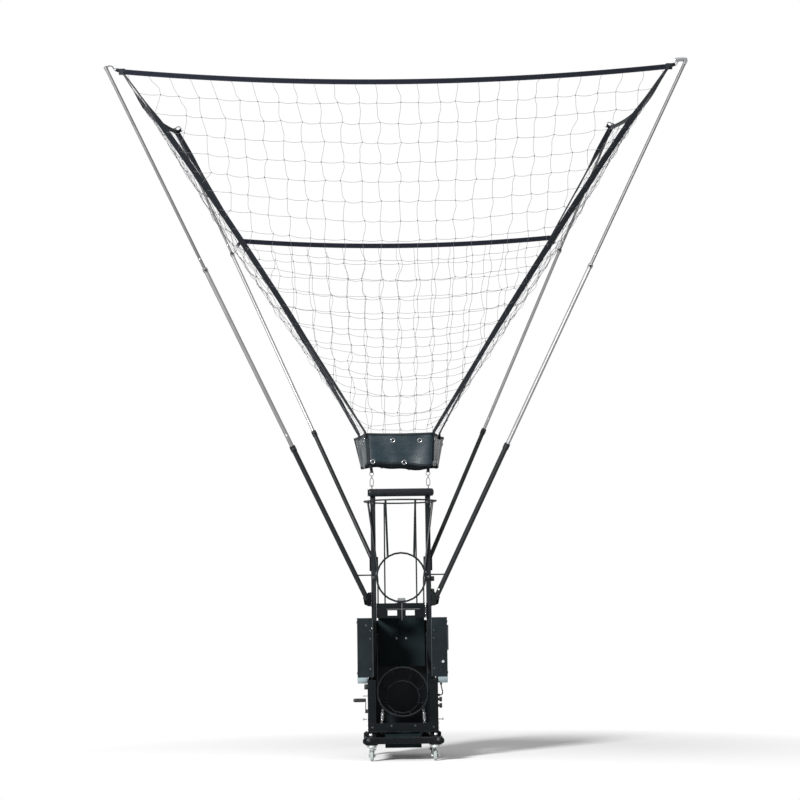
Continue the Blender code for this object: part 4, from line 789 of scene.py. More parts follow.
TUCK = 0.995  # the mesh stops a little short of a band's ends
MESH_DROP = UP * 0.008  # and starts this far below its middle line
FRONT_BOW, BACK_BOW, SIDE_BOW = 0.030, 0.040, 0.045
KNOT_SIZE = 0.0034
KNOT_LINE = (0.2, 0.1, 1)
SEAM_GAP, LOWEST = 0.012, 0.985  # no knot is closer to a seam, or lower
ZIGZAG, SHIFT, LEVEL_SHIFT = 0.06, 0.075, 0.0024  # in cells, in cells, and as a level
DROOP = (0.002, 0.009)
LEAN_DOWN, LEAN_END, LEAN_ACROSS = 0.007, 0.004, 0.006


def front_line(share):
    """The front band's middle line, from -1 at the left to 1 at the right."""
    rise = 1 - share * share
    corner = FRONT_CORNER
    return Vector((corner.x * share, corner.y + 0.010 * rise, corner.z - FRONT_SAG * rise))


def back_line(share):
    """The back band's middle line, in the same way."""
    corner = BACK_CORNER
    return Vector((corner.x * share, corner.y, corner.z - BACK_SAG * (1 - share * share)))


def funnel_corner(corner, side):
    """Where the net meets a top corner of the funnel."""
    return Vector((side * corner[0].x, corner[0].y, NET_FOOT))


def front_seam(level):
    """Right front seam, drawn inwards by the net, from 0 at the corner to 1 at the funnel."""
    point = FRONT_CORNER.lerp(funnel_corner(FUNNEL_FRONT, 1), level)
    point.x -= SEAM_BOW * math.sin(math.pi * level ** 0.75)
    return point


def rear_seam(level):
    """Right rear seam below the back corner; it ends at the middle of the funnel's side wall."""
    point = BACK_CORNER.lerp(REAR_SEAM_FOOT, level)
    point.x -= SEAM_BOW * 0.6 * math.sin(math.pi * level)
    return point


def front_surface(share, level):
    top = front_line(share * TUCK) - MESH_DROP
    foot = Vector((share * 0.168, -0.1635, FUNNEL_TOP - 0.010))
    point = top.lerp(foot, level)
    point.x -= share * SEAM_BOW * math.sin(math.pi * level ** 0.75)
    point.y -= FRONT_BOW * math.sin(math.pi * level) * (1 - share * share)
    return point


def back_surface(share, level):
    top = back_line(share * TUCK) - MESH_DROP
    wrap = share ** 8
    foot = Vector((share * (0.229 - 0.023 * wrap), 0.1585 - 0.1625 * wrap, FUNNEL_TOP - 0.010))
    point = top.lerp(foot, level)
    point.x -= share * SEAM_BOW * 0.6 * math.sin(math.pi * level)
    point.y += BACK_BOW * math.sin(math.pi * level) * (1 - share * share)
    return point


def side_surface(side):
    """Side panel: share runs from the front seam to the rear seam."""
    def place(share, level):
        if level < 1 / 3:
            rear = REAR_CORNER.lerp(BACK_CORNER, level * 3)
        else:
            rear = rear_seam(level * 1.5 - 0.5)
        point = front_seam(level).lerp(rear, share)
        point.z -= TOP_STRAP_SAG * math.sin(math.pi * share) * (1 - level)
        point.x += SIDE_BOW * math.sin(math.pi * level) * math.sin(math.pi * share)
        return sided(point, side)
    return place


def either_way(dice, most):
    return dice.uniform(-most, most)


@dataclass
class Panel:
    """Square mesh hung from its top edge, cut along its seams, in strips of a few columns."""

    name: str
    surface: object
    cells: tuple  # across, at the top and at the foot
    rows: int
    columns: int
    sag: float
    both: bool  # lies on both sides of the middle
    seed: int

    @property
    def low(self):
        """The share at which the panel begins."""
        return -1.0 if self.both else 0.0

    def wide(self, level):
        return self.cells[0] + (self.cells[1] - self.cells[0]) * level

    def share_of(self, column, level):
        return max(-1.0, min(1.0, column / self.wide(level)))

    def spot(self, column, row, edge=None):
        """Share and level of a knot, or None where the cut mesh has none. Edge gives a seam end."""
        level = row / self.rows
        share = edge if edge is not None else column / self.wide(level)
        level += self.sag * level * (1 - min(1.0, share * share))
        if edge is not None:
            return (share, level) if level < LOWEST else None
        share = column / self.wide(level)
        if not self.low + SEAM_GAP < share < 1 - SEAM_GAP or level > LOWEST:
            return None
        dice = random.Random(self.seed * 100003 + column * 331 + row)
        if row:
            zigzag = ZIGZAG if (row + column) % 2 else -ZIGZAG
            share += (zigzag + either_way(dice, SHIFT)) / self.wide(level)
            if self.both:
                share += (0.012 - 0.035 * share) * (1 - math.exp(-row / 0.9))
            level += either_way(dice, LEVEL_SHIFT)
        return share, level

    def seam_level(self, column):
        """Level where a column meets its seam, at most 1 at the foot."""
        span = self.cells[1] - self.cells[0]
        return min(1.0, max(0.0, (abs(column) - self.cells[0]) / span))

    def link(self, strands, first, second, droop, lean):
        """One side of a cell: a slack strand between two knots."""
        a, b = self.surface(*first), self.surface(*second)
        ahead = b - a
        if ahead.length < 0.004:
            return
        side = ahead.cross(UP)
        side = side.normalized() if side.length > 1e-6 else Vector(RIGHT)
        deep = Vector(REAR)
        way = ahead.normalized()
        steep = abs(way.z) >= 0.6
        path = [a]
        for t in (0.28, 0.5, 0.72):
            bow = 4 * t * (1 - t)
            offset = UP * (-droop * bow) + (deep if steep else side) * lean * 0.3 * bow
            if steep:
                offset += way.cross(side) * lean * math.sin(2 * math.pi * t)
                offset += way.cross(deep) * lean * bow
            path.append(a.lerp(b, t) + offset)
        path.append(b)
        strands.strand(path, TWINE)

    def strip(self, first, last):
        """The knots, rows and columns from one column up to another."""
        strands = Strands()
        dice = random.Random(self.seed * 7919 + first)
        for column in range(first, last):
            spots = [(row, self.spot(column, row)) for row in range(self.rows + 1)]
            spots = [(row, spot) for row, spot in spots if spot]
            if not spots:
                continue
            for (_, here), (_, below) in zip(spots, spots[1:]):
                self.link(strands, here, below, 0.0, either_way(dice, LEAN_DOWN))
            lowest = spots[-1][1]
            end_level = self.seam_level(column)
            if end_level > lowest[1] + 0.004:
                ending = (self.share_of(column, end_level), end_level)
                self.link(strands, lowest, ending, 0.0, either_way(dice, LEAN_END))
            for row, here in spots:
                if row == 0:
                    continue
                strands.knot(self.surface(*here), KNOT_SIZE * dice.uniform(0.85, 1.2), KNOT_LINE)
                beside = self.spot(column + 1, row) or self.spot(column, row, edge=1.0)
                if beside and beside[0] > here[0]:
                    self.link(strands, here, beside, dice.uniform(*DROOP),
                              either_way(dice, LEAN_ACROSS))
                if (column <= 0 or not self.both) and not self.spot(column - 1, row):
                    ending = self.spot(column, row, edge=self.low)
                    if ending and ending[0] < here[0]:
                        self.link(strands, ending, here, dice.uniform(*DROOP), 0.0)
        return strands


def net_strips(panel, step, node, fold):
    """Makes a panel's strips, a few columns each, in place of the model's panel."""
    first = -panel.columns if panel.both else 0
    for index, column in enumerate(range(first, panel.columns + 1, step)):
        last = min(column + step, panel.columns + 1)
        strands = panel.strip(column, last)
        if not strands.faces:
            continue
        piece = strands.piece(f"{panel.name}_{index:02d}", "twine", "twine", 75)
        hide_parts(node)
        middle = (column + last - 1) / 2
        share = panel.share_of(middle, 0)
        foot = panel.surface(panel.share_of(middle, 1), 1)
        gather(piece, panel.surface(share, 0), fold(share), foot)


def front_folded(share):
    """Where a point of the front band goes when the poles are down."""
    drop = 0.30 * (1 - share * share)
    return Vector((FRONT_FOLDED.x * share, FRONT_FOLDED.y, FRONT_FOLDED.z - drop))


def back_folded(share):
    drop = 0.34 * (1 - share * share)
    return Vector((BACK_FOLDED.x * share, BACK_FOLDED.y, BACK_FOLDED.z - drop))


def side_folded(side):
    """The same for the top edge of a side panel."""
    def target(share):
        point = FRONT_FOLDED.lerp(REAR_FOLDED, share)
        point.z -= 0.22 * math.sin(math.pi * share)
        return sided(point, side)
    return target


def make_net():
    front = Panel("net_front", front_surface, (13.2, 2.4), 19, 13, 0.052, True, 1)
    net_strips(front, 2, "net_front_panel", front_folded)
    back = Panel("net_back", back_surface, (8.6, 2.7), 12, 8, 0.034, True, 2)
    net_strips(back, 2, "net_rear_wrap", back_folded)
    for side_name, side in SIDES.items():
        panel = Panel("net_side_" + side_name, side_surface(side), (13.2, 3.9), 19, 13, 0.0,
                      False, 4 + side)
        net_strips(panel, 3, "net_rear_wrap", side_folded(side))


# Webbing

# How far each strap is turned on edge, as (share of the way down, angle)
FRONT_TURN = ((0.0, 1.25), (0.07, 1.25), (0.17, 0.0), (0.60, 0.1), (0.78, 0.85), (1.0, 1.15))
REAR_TURN = ((0.0, 1.25), (0.20, 1.15), (0.50, 0.55), (0.75, 1.05), (1.0, 1.2))
TOP_TURN = ((0.0, 0.0), (0.12, 0.1), (0.40, 1.3), (1.0, 1.57))
DROP_TURN = ((0.0, 0.0), (0.12, 0.1), (0.42, 1.2), (1.0, 1.25))
TOP_PIECES, DROP_PIECES = 20, 6
STRAP_TAIL = UP * 0.030
TOP_STRAP_LENGTH = 1.31


def band(name, node, line, fold, foot_line, steps):
    """A sagging band, made in short lengths."""
    section = strap_section(BAND_WIDTH)
    run = 0.0
    for index in range(steps):
        low = -1 + 2 * index / steps
        high = low + 2 / steps
        strands = Strands()
        run = strands.sweep([line(low + (high - low) * t / 2) for t in range(3)], section, run, UP)
        piece = strands.piece(f"{name}_{index:02d}", "band", "webbing")
        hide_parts(node)
        share = (low + high) / 2
        gather(piece, line(share), fold(share), foot_line(share))


def turning(stops, start=0.0, end=1.0):
    """A turn that eases from stop to stop, over a stretch from start to end of the strap."""
    def turn(here):
        here = start + (end - start) * here
        for (low, first), (high, last) in zip(stops, stops[1:]):
            if here <= high:
                share = (here - low) / (high - low)
                return first + (last - first) * share * share * (3 - 2 * share)
        return stops[-1][1]
    return turn


def stay(name, node, path, fold, turn, wide, width=STRAP_WIDTH, run=0.0):
    """A length of webbing on one of the net's seams or edges."""
    size = (width, WEB_THICKNESS)
    piece = ribbon(name, path, size, Vector(wide).normalized(), "strap", run, turn)
    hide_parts(node)
    gather(piece, *fold)


def make_side_straps(side_name):
    """Front seam, top edge and rear seam of one side panel."""
    side = SIDES[side_name]
    node = "net_strap_" + side_name
    front, rear, back = (sided(p, side) for p in (FRONT_CORNER, REAR_CORNER, BACK_CORNER))
    front_to, rear_to, back_to = (sided(p, side) for p in (FRONT_FOLDED, REAR_FOLDED, BACK_FOLDED))
    front_foot = funnel_corner(FUNNEL_FRONT, side)
    seam_foot = sided(REAR_SEAM_FOOT, side)
    face = (side, 0, 0)
    path = [sided(front_seam(i / 60), side) for i in range(61)] + [front_foot - STRAP_TAIL]
    stay("strap_front_" + side_name, node, path, (front, front_to, front_foot), turning(FRONT_TURN),
         face)
    path = [sided(rear_seam(i / 40), side) for i in range(41)] + [seam_foot - STRAP_TAIL]
    stay("strap_rear_" + side_name, node, path, (back, back_to, seam_foot), turning(REAR_TURN),
         face)
    target = side_folded(side)
    for index in range(TOP_PIECES):
        low, high = index / TOP_PIECES, (index + 1) / TOP_PIECES
        path = []
        for i in range(5):
            share = low + (high - low) * i / 4
            point = front.lerp(rear, share)
            point.z -= TOP_STRAP_SAG * math.sin(math.pi * share)
            path.append(point)
        share = (low + high) / 2
        stay(f"strap_top_{side_name}_{index:02d}", node, path,
             (path[2], target(share), front_foot.lerp(seam_foot, share)),
             turning(TOP_TURN, low, high), (side, 0, 1), TOP_STRAP_WIDTH, TOP_STRAP_LENGTH * low)
    for index in range(DROP_PIECES):
        low, high = index / DROP_PIECES, (index + 1) / DROP_PIECES
        path = between(rear.lerp(back, low), rear.lerp(back, high), 6)
        goal = rear_to.lerp(back_to, (low + high) / 2)
        stay(f"strap_drop_{side_name}_{index}", node, path, (path[3], goal, seam_foot),
             turning(DROP_TURN, low, high), face)


def corner_patch(name, place, normal, along, fold, size):
    """Square sewn patch of doubled webbing with a short tab to its ring."""
    patch = plate((-size, -size, -0.0028), (size, size, 0.0028), 0.0010)
    stood(smoothed(patch), place, normal)
    ahead = (Vector(along) - place).normalized()
    tab = ribbon(name + "_tab", between(place + ahead * 0.006, along, 6), (0.018, 0.0042),
                 Vector(normal).cross(ahead), "strap")
    gather(tab, *fold)
    placed(patch, name, "binding")
    gather(patch, *fold)


def make_corners():
    """Patches and steel rings that hang the net on the hooks of the poles."""
    for side_name, side in SIDES.items():
        front_foot, back_foot = funnel_corner(FUNNEL_FRONT, side), funnel_corner(FUNNEL_BACK, side)
        corners = (
            ("front_", FRONT_CORNER, FRONT_FOLDED, front_foot, FRONT, 0.0155,
             (1.3700, -0.6600, 3.3885), (0.2, 0.5, 1), "front_pole_top_"),
            ("rear_", REAR_CORNER, REAR_FOLDED, back_foot, (side, 0.3, 0), 0.0135,
             (1.1690, 0.6520, 3.3830), (0.3, 1, 0.2), "rear_pole_top_"),
            ("back_", BACK_CORNER, BACK_FOLDED, back_foot, (side * 0.4, 1, 0), 0.0125,
             (0.8540, 0.4600, 2.6985), (1, 0.2, 0.4), "rear_pole_middle_"),
        )
        for label, corner, folded, foot, normal, size, hook, *_ in corners:
            place = sided(corner, side)
            corner_patch("corner_patch_" + label + side_name, place, normal, sided(hook, side),
                         (place, sided(folded, side), foot), size)
        for label, *_, hook, axis, body in corners:
            loop = ring(sided(hook, side), axis, 0.0095, 0.0016)
            placed(loop, "corner_ring_" + label + side_name, "chrome", body + side_name)


# Funnel

# Waves of the vinyl, as (height, radians per metre round it, start)
FOOT_FOLDS = ((0.0042, 21.0, 0.7), (0.0026, 47.0, 0.0))
FOOT_WAVES = ((0.0065, 13.0, 0.5), (0.0030, 37.0, 0.0))
TOP_PUCKER = ((0.0016, 62.0, 0.0),)
BILLOW = 0.0033
TOP_SAG = 0.0035
CORNER_ROUND, CORNER_PULL = 0.020, 0.0075


def ripple(waves, walk):
    return sum(height * math.sin(walk * pitch + start) for height, pitch, start in waves)


def funnel_outline(level):
    """Corners of one level of the funnel, in order round it."""
    front, back = (top.lerp(foot, level) for top, foot in (FUNNEL_FRONT, FUNNEL_BACK))
    return [Vector((-front.x, front.y)), front, back, Vector((-back.x, back.y))]


FUNNEL_WALLS = [(b - a).length for a, b in zip(funnel_outline(0), funnel_outline(0)[1:]
                                               + funnel_outline(0)[:1])]
FUNNEL_ROUND = sum(FUNNEL_WALLS)


def funnel_point(walk, level, out=0.0):
    """A point of the funnel wall: walk is metres round its top from the front left corner."""
    here = funnel_outline(level)
    walk = walk % FUNNEL_ROUND
    full = walk
    for i, length in enumerate(FUNNEL_WALLS):
        if walk <= length:
            break
        walk -= length
    share = walk / length
    a, b = here[i], here[(i + 1) % 4]
    corner_pull = CORNER_PULL * max(0.0, 1 - min(walk, length - walk) / CORNER_ROUND) ** 2
    side = (b - a).normalized()
    normal = Vector((side.y, -side.x))
    middle = math.sin(math.pi * share)
    out += level * ripple(FOOT_FOLDS, full) + (1 - level) * ripple(TOP_PUCKER, full)
    out -= BILLOW * middle * math.sin(math.pi * level)
    place = a.lerp(b, share) + normal * out
    place -= place.normalized() * corner_pull
    z = FUNNEL_TOP + (FUNNEL_BOTTOM - FUNNEL_TOP) * level
    z += level * ripple(FOOT_WAVES, full) - (1 - level) * TOP_SAG * middle
    return Vector((place.x, place.y, z))


def make_funnel_wall(around=168, levels=16):
    """The vinyl skirt as one wavy wall that goes round."""
    points = [tuple(funnel_point(FUNNEL_ROUND * i / around, j / levels))
              for j in range(levels + 1) for i in range(around)]
    faces = []
    for j in range(levels):
        for i in range(around):
            here, beside = j * around + i, j * around + (i + 1) % around
            faces.append((here, here + around, beside + around, beside))
    data = bpy.data.meshes.new("funnel_wall")
    data.from_pydata(points, [], faces)
    wall = bpy.data.objects.new("funnel_wall", data)
    SCENE.collection.objects.link(wall)
    only(wall)
    bpy.ops.object.mode_set(mode="EDIT")
    bpy.ops.mesh.select_all(action="SELECT")
    bpy.ops.mesh.normals_make_consistent(inside=False)
    leave_edit()
    skin = wall.modifiers.new("skin", "SOLIDIFY")
    skin.thickness = 0.0018
    skin.offset = 0.0
    smoothed(wall, 50)
    placed(wall, "funnel_wall", "vinyl")
    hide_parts("net_funnel")
    return wall


def make_eyelet(label, walk, level):
    """A rolled eyelet set in the funnel's wall, and a dark disc in it as the painted shade of its
    hole.
    """
    here = funnel_point(walk, level)
    beside, below = funnel_point(walk + 0.004, level), funnel_point(walk, level + 0.03)
    normal = (beside - here).cross(below - here).normalized()
    if normal.dot(Vector((here.x, here.y, 0))) < 0:
        normal = -normal
    washer = ring(here + normal * 0.0014, normal, 0.0098, 0.0030, 28, 8, 0.55)
    # The wall is not cut through: this dark disc stands in for the shaded hole, as painted shade.
    hole = post(0.0075, 0.0010, here + normal * 0.0010, normal, 24, 0.0002)
    placed(hole, "funnel_hole_" + label, "binding")
    return [placed(washer, "funnel_eyelet_" + label, "chrome"), hole]


def make_funnel():
    """Vinyl skirt with bound edges, sewn corners, eyelets and the loops for its hooks."""
    around = 168
    wall = make_funnel_wall(around)
    trims = []
    for name, level, tall, inward in (("funnel_top_binding", 0.0, 0.013, -UP),
                                      ("funnel_foot_binding", 1.0, 0.012, UP)):
        path = [funnel_point(FUNNEL_ROUND * i / around, level) + inward * (tall / 2 - 0.002)
                for i in range(around + 1)]
        trims.append(ribbon(name, path, (tall, 0.0046), UP, "binding", slot="vinyl"))
    edges = [sum(FUNNEL_WALLS[:i]) for i in range(4)]
    for i, walk in enumerate(edges):
        path = [funnel_point(walk + 0.010, level / 12, 0.0016) for level in range(13)]
        wide = funnel_point(walk + 0.02, 0.5) - funnel_point(walk + 0.004, 0.5)
        trims.append(ribbon(f"funnel_corner_seam_{i}", path, (0.016, 0.0022), wide, "binding",
                            slot="vinyl"))

    top_count, foot_count = int(FUNNEL_ROUND / 0.137), int(FUNNEL_ROUND / 0.150)
    rows = (
        ("top", 0.22, [0.140 + i * 0.137 for i in range(top_count)]),
        ("foot", 0.95, [0.032 + i * FUNNEL_ROUND / foot_count for i in range(foot_count)]),
        ("seam", 0.16, [edges[1] + 0.020, edges[1] + 0.150, FUNNEL_ROUND - 0.020,
                        FUNNEL_ROUND - 0.150]),
    )
    for row, level, walks in rows:
        for i, walk in enumerate(walks):
            trims += make_eyelet(f"{row}_{i:02d}", walk, level)
    for side_name, side in SIDES.items():
        path = bent([sided(point, side) for point in (
            (0.143, -0.0915, 1.4350), (0.1435, -0.098, 1.4480), (0.146, -0.118, 1.4630),
            (0.150, -0.141, 1.4740), (0.152, -0.1480, 1.4900))])
        size = (0.015, 0.0040)
        trims.append(ribbon("hook_strap_" + side_name, path, size, Vector(RIGHT), "strap"))
        x = side * 0.143
        keeper = plate((x - 0.0088, -0.0965, 1.4385), (x + 0.0088, -0.0865, 1.4445), 0.0012)
        trims.append(placed(keeper, "hook_strap_keeper_" + side_name, "dark_bolt"))


# Springs of the throwing arm, and the cable

def make_spring(side_name):
    """Coil spring with a hook at each end, stretched by the arm."""
    side = SIDES[side_name]
    foot = Vector((side * 0.1060, -0.2173, 0.1851))
    head = Vector((side * 0.1006, -0.2233, 0.2487))
    axis = (head - foot).normalized()
    across = axis.cross(Vector(REAR)).normalized()
    away = axis.cross(across)
    coil_low, coil_high = foot + axis * 0.009, head - axis * 0.009
    height = (coil_high - coil_low).length
    radius, turns, turn_steps = 0.0082, 13, 16
    points = [foot + across * 0.001, foot + axis * 0.004 + across * 0.0035]
    steps = turns * turn_steps
    for i in range(steps + 1):
        share = i / steps
        swell = radius * min(1.0, 0.45 + 6 * share, 0.45 + 6 * (1 - share))
        angle = 2 * math.pi * turns * share
        points.append(coil_low + axis * (height * share) + across * (swell * math.cos(angle))
                      + away * (swell * math.sin(angle)))
    points += [head - axis * 0.004 + across * 0.0035, head + across * 0.001]
    spring = rod(points, 0.0013, 8)
    dressed(spring, "throw_spring_coil_" + side_name, "chrome")
    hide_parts("throw_spring_" + side_name)
    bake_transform(spring)
    for label, place, body in (("foot", foot, FRAME), ("head", head, "throw_arm")):
        loop = ring(place, REAR, 0.0046, 0.0012, 20, 6)
        placed(loop, f"spring_{label}_ring_{side_name}", "chrome", body)


def make_cable():
    """Short cable from the right box down into its gland on the leg."""
    z = 0.3797
    controls = [(0.192, -0.150, z), (0.192, -0.151, z - 0.012), (0.195, -0.158, z - 0.030),
                (0.198, -0.172, z - 0.045), (0.197, -0.188, z - 0.055), (0.190, -0.199, z - 0.060),
                (0.182, -0.2025, z - 0.061), (0.1753, -0.2025, z - 0.061)]
    route = bent(controls, 0.002)
    tube = rod(route, 0.0030, 12)
    placed(tube, "side_cable_jacket", "cable")
    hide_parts("side_cable")
    gland = post(0.0062, 0.0090, (0.1752, -0.2025, z - 0.061), RIGHT, 20, 0.0010)
    placed(gland, "cable_gland", "plastic")
    relief = post(0.0055, 0.0120, (0.192, -0.150, z), (0, 0.05, -1), 20, 0.0020)
    placed(relief, "cable_relief", "cable")


# Small fittings

LEG_SIDE = 0.1740
COVER_FRONT = -0.2201
COVER_SIDE = 0.2241
COVER_TOP = 0.7020
PIN_END = 0.1965


def fix(maker, size, name, finish, spots, body=FRAME):
    """The same fastener set at several (place, axis) spots and joined as one piece."""
    made = [maker(place, axis, size) for place, axis in spots]
    return placed(joined(made), name, finish, body)


def both(axis, *places):
    """Spots at these places of the right side and at their mirrors on the left."""
    return [(sided(place, side), sided(axis, side)) for side in SIDES.values() for place in places]


def make_base_fittings():
    """Bolts of the beams and legs, lock pins, and the races and nuts of the casters."""
    fix(bolt, 0.0050, "beam_front_bolts", "dark_bolt", both(FRONT, (0.172, -0.2855, 0.1045)))
    fix(bolt, 0.0045, "beam_top_bolts", "dark_bolt",
        both(TOP, (0.186, -0.262, 0.1163), (0.186, 0.262, 0.1163)))
    fix(bolt, 0.0038, "leg_foot_bolts", "bright_bolt", both(FRONT, (0.161, -0.2152, 0.1275)))
    fix(cap_screw, 0.0036, "cross_plate_screws", "dark_bolt", [
        ((x, -0.2195, z), FRONT)
        for x, z in ((-0.058, 0.170), (0.060, 0.170), (-0.152, 0.163), (0.152, 0.163))])
    fix(cap_screw, 0.0034, "leg_side_screws", "bright_bolt",
        both(RIGHT, *((LEG_SIDE + 0.0012, y, z) for y in (-0.2025, 0.2025)
                      for z in (0.181, 0.158))))
    pins = []
    # the left pin stands further back, clear of the crank
    for side, root, y in ((1, LEG_SIDE, -0.2025), (-1, 0.1555, -0.1480)):
        pins.append(rod([(side * root, y, 0.2005), (side * PIN_END, y, 0.2005)], 0.0021, 12))
        pins.append(ring((side * PIN_END, y, 0.2005), REAR, 0.0042, 0.0012, 20, 6))
    pins.append(rod([(-LEG_SIDE, -0.2025, 0.3180), (-0.1990, -0.2025, 0.3180)], 0.0022, 12))
    placed(joined(pins), "leg_lock_pins", "motor")
    stop = plate((-0.1915, -0.2120, 0.3500), (-0.1741, -0.1930, 0.3760), 0.0016)
    placed(stop, "left_leg_stop", "plastic")
    for end, y in (("front", -0.260), ("rear", 0.260)):
        for side_name, side in SIDES.items():
            name = f"{end}_{side_name}"
            fork = "caster_fork_" + name
            x = side * 0.157
            fix(bolt, 0.0034, "caster_axle_nuts_" + name, "bright_bolt", [
                ((x + hand * 0.0171, y + 0.018, 0.026), (hand, 0, 0)) for hand in (-1, 1)], fork)
            race = ring((x, y, 0.0722), TOP, 0.0222, 0.0024, 32, 8)
            placed(race, "caster_race_" + name, "bright_bolt", fork)
            fix(bolt, 0.0028, "caster_plate_nuts_" + name, "bright_bolt", [
                ((x + a * 0.024, y + b * 0.019, 0.0788), UNDER) for a in (-1, 1) for b in (-1, 1)])


def make_cover_fittings():
    """Grey strips on the covers' lower chamfers that paint on the floor's reflection, rolled inner
    edges, screws, hinge and louvres of the covers.
    """
    for side_name, side in SIDES.items():
        # The black cover's lower chamfer would show the floor's reflection; this thin grey strip
        # paints that reflection on.
        low, high = sorted((side * 0.1764, side * 0.2236))
        strip = plate((low, -0.0016, -0.0206), (high, 0.0, 0.0206), 0.0006)
        tilt = Matrix.Rotation(math.radians(45), 4, "X")
        strip.data.transform(Matrix.Translation((0, -0.2054, 0.3944)) @ tilt)
        placed(strip, "cover_foot_strip_" + side_name, "floor_reflection_strip")
        edge = rod([(side * 0.1462, -0.2205, z) for z in (0.412, 0.700)], 0.0028, 14)
        placed(edge, "cover_rolled_edge_" + side_name, "edge")
        lip = rod([(side * x, y, COVER_TOP) for x, y in (
            (0.150, -0.2195), (0.2225, -0.2195), (0.2238, -0.2180), (0.2238, 0.2130))], 0.0016, 8)
        placed(lip, "cover_top_edge_" + side_name, "cover")
        fix(cap_screw, 0.0030, "cover_side_screws_" + side_name, "dark_bolt", [
            ((side * COVER_SIDE, y, z), (side, 0, 0))
            for y in (-0.195, 0.0, 0.190) for z in (0.430, 0.682)])
        fix(cap_screw, 0.0028, "cover_front_screws_" + side_name, "dark_bolt", [
            ((side * 0.158, COVER_FRONT, z), FRONT) for z in (0.640, 0.600, 0.450)])
        face = side * (COVER_SIDE + 0.0002)
        slots = [plate((face - 0.0005, 0.02 + 0.012 * i, 0.560),
                       (face + 0.0005, 0.026 + 0.012 * i, 0.640), 0.0004) for i in range(9)]
        placed(joined(slots), "cover_vent_slots_" + side_name, "bay")
    leaf = plate((0.2243, -0.2180, 0.540), (0.2262, -0.1880, 0.665), 0.0006)
    placed(leaf, "door_hinge_leaf", "frame")
    barrel = rod([(0.2262, -0.2190, 0.541), (0.2262, -0.2190, 0.664)], 0.0040, 14)
    placed(barrel, "door_hinge_barrel", "dark_bolt")
    fix(cap_screw, 0.0026, "door_hinge_screws", "dark_bolt", [
        ((0.2262, -0.2010, z), RIGHT) for z in (0.560, 0.602, 0.645)])
    fix(bolt, 0.0024, "left_door_screw", "dark_bolt", [((-0.178, COVER_FRONT, 0.666), FRONT)])
    fix(bolt, 0.0024, "left_flange_bolt", "motor", [((-0.149, COVER_FRONT, 0.6515), FRONT)])
    fix(bolt, 0.0030, "bay_wall_bolts", "motor",
        [((x, 0.1767, 0.597), FRONT) for x in (-0.025, 0.025)])
    fix(cap_screw, 0.0032, "rear_cover_screws", "dark_bolt",
        both(REAR, *((0.150, 0.2822, z) for z in (0.165, 0.415, 0.665))))
    louvres = []
    for i in range(6):
        slat = plate((-0.071, -0.004, 0.0), (0.071, 0.004, 0.0016), 0.0005)
        tilt = Matrix.Rotation(math.radians(-38), 4, "X")
        slat.data.transform(Matrix.Translation((0, 0.2808, 0.5105 + i * 0.022)) @ tilt)
        louvres.append(slat)
    placed(joined(louvres), "rear_cover_louvres", "cover")
    grip = rod(bent([(-0.060, 0.2815, 0.450), (-0.060, 0.2960, 0.452), (-0.050, 0.3060, 0.454),
                     (0.0, 0.3080, 0.454), (0.050, 0.3060, 0.454), (0.060, 0.2960, 0.452),
                     (0.060, 0.2815, 0.450)], 0.006), 0.0055, 14)
    placed(grip, "rear_cover_handle", "column")


def make_column_fittings():
    """Knobs, bolts and caps on the columns, the top bar and the guide cage."""
    for label, z, size in (("upper", 0.898, 0.0125), ("lower", 0.838, 0.0095)):
        knob = post(size, 0.016, (0.1518, -0.052, z), RIGHT, 18, 0.0022)
        placed(knob, "cage_clamp_knob_" + label, "plastic")
    fix(bolt, 0.0036, "top_bar_tab_bolts", "dark_bolt", both(FRONT, (0.1389, -0.0806, 1.283)))
    fix(bolt, 0.0036, "hoop_lug_bolts", "dark_bolt", both(FRONT, (0.1389, -0.0803, 0.906)))
    fix(lambda place, axis, size: post(size, 0.0040, place, axis, 18, 0.0012), 0.0052,
        "peg_end_caps", "plastic", both(RIGHT, (0.2402, -0.050, 0.919)))
    pad = plate((-0.0190, -0.0705, 0.7990), (0.0190, -0.0635, 0.8030), 0.0012)
    placed(pad, "gate_lip_pad", "grey_rubber", "release_gate")
    for side_name, side in SIDES.items():
        x = side * 0.1268
        glide = plate((x - 0.0008, -0.0640, 0.430), (x + 0.0008, -0.0360, 0.700), 0.0006)
        placed(glide, "column_glide_" + side_name, "column")
        weld = ring((side * 0.163, -0.0925, 1.334), (side, 0, 0), 0.0185, 0.0016, 28, 8)
        placed(weld, "bar_end_ring_" + side_name, "column")
    latch = post(0.0048, 0.0085, (0.1875, -0.0935, 0.842), (0.2, -1, 0.1), 18, 0.0012)
    placed(latch, "fold_latch_button", "bright_bolt", "front_pole_sleeve_right")


def make_chute_fittings():
    """Pull rod between the windows, the trim rod above them and the short chain beside them."""
    pull = rod([(0.002, -0.0885, 0.690), (0.002, -0.0885, 0.776)], 0.0016, 12)
    eyes = [ring((0.002, -0.0872, z), TOP, 0.0030, 0.0010, 16, 6) for z in (0.700, 0.768)]
    placed(joined([pull, *eyes]), "gate_pull_rod", "chrome")
    trim = rod([(-0.076, -0.0860, 0.746), (0.092, -0.0860, 0.746)], 0.0013, 12)
    placed(trim, "chute_trim_rod", "chrome")
    links = []
    for i in range(13):
        link = ring((0, 0, 0), RIGHT if i % 2 else REAR, 0.0031, 0.0008, 16, 6)
        link.data.transform(Matrix.Translation((0.1215, -0.0882, 0.7660 - 0.0049 * i)))
        links.append(link)
    placed(joined(links), "gate_chain", "chrome")
    fix(cap_screw, 0.0026, "gate_chain_screw", "bright_bolt", [((0.1215, -0.0846, 0.7695), FRONT)])


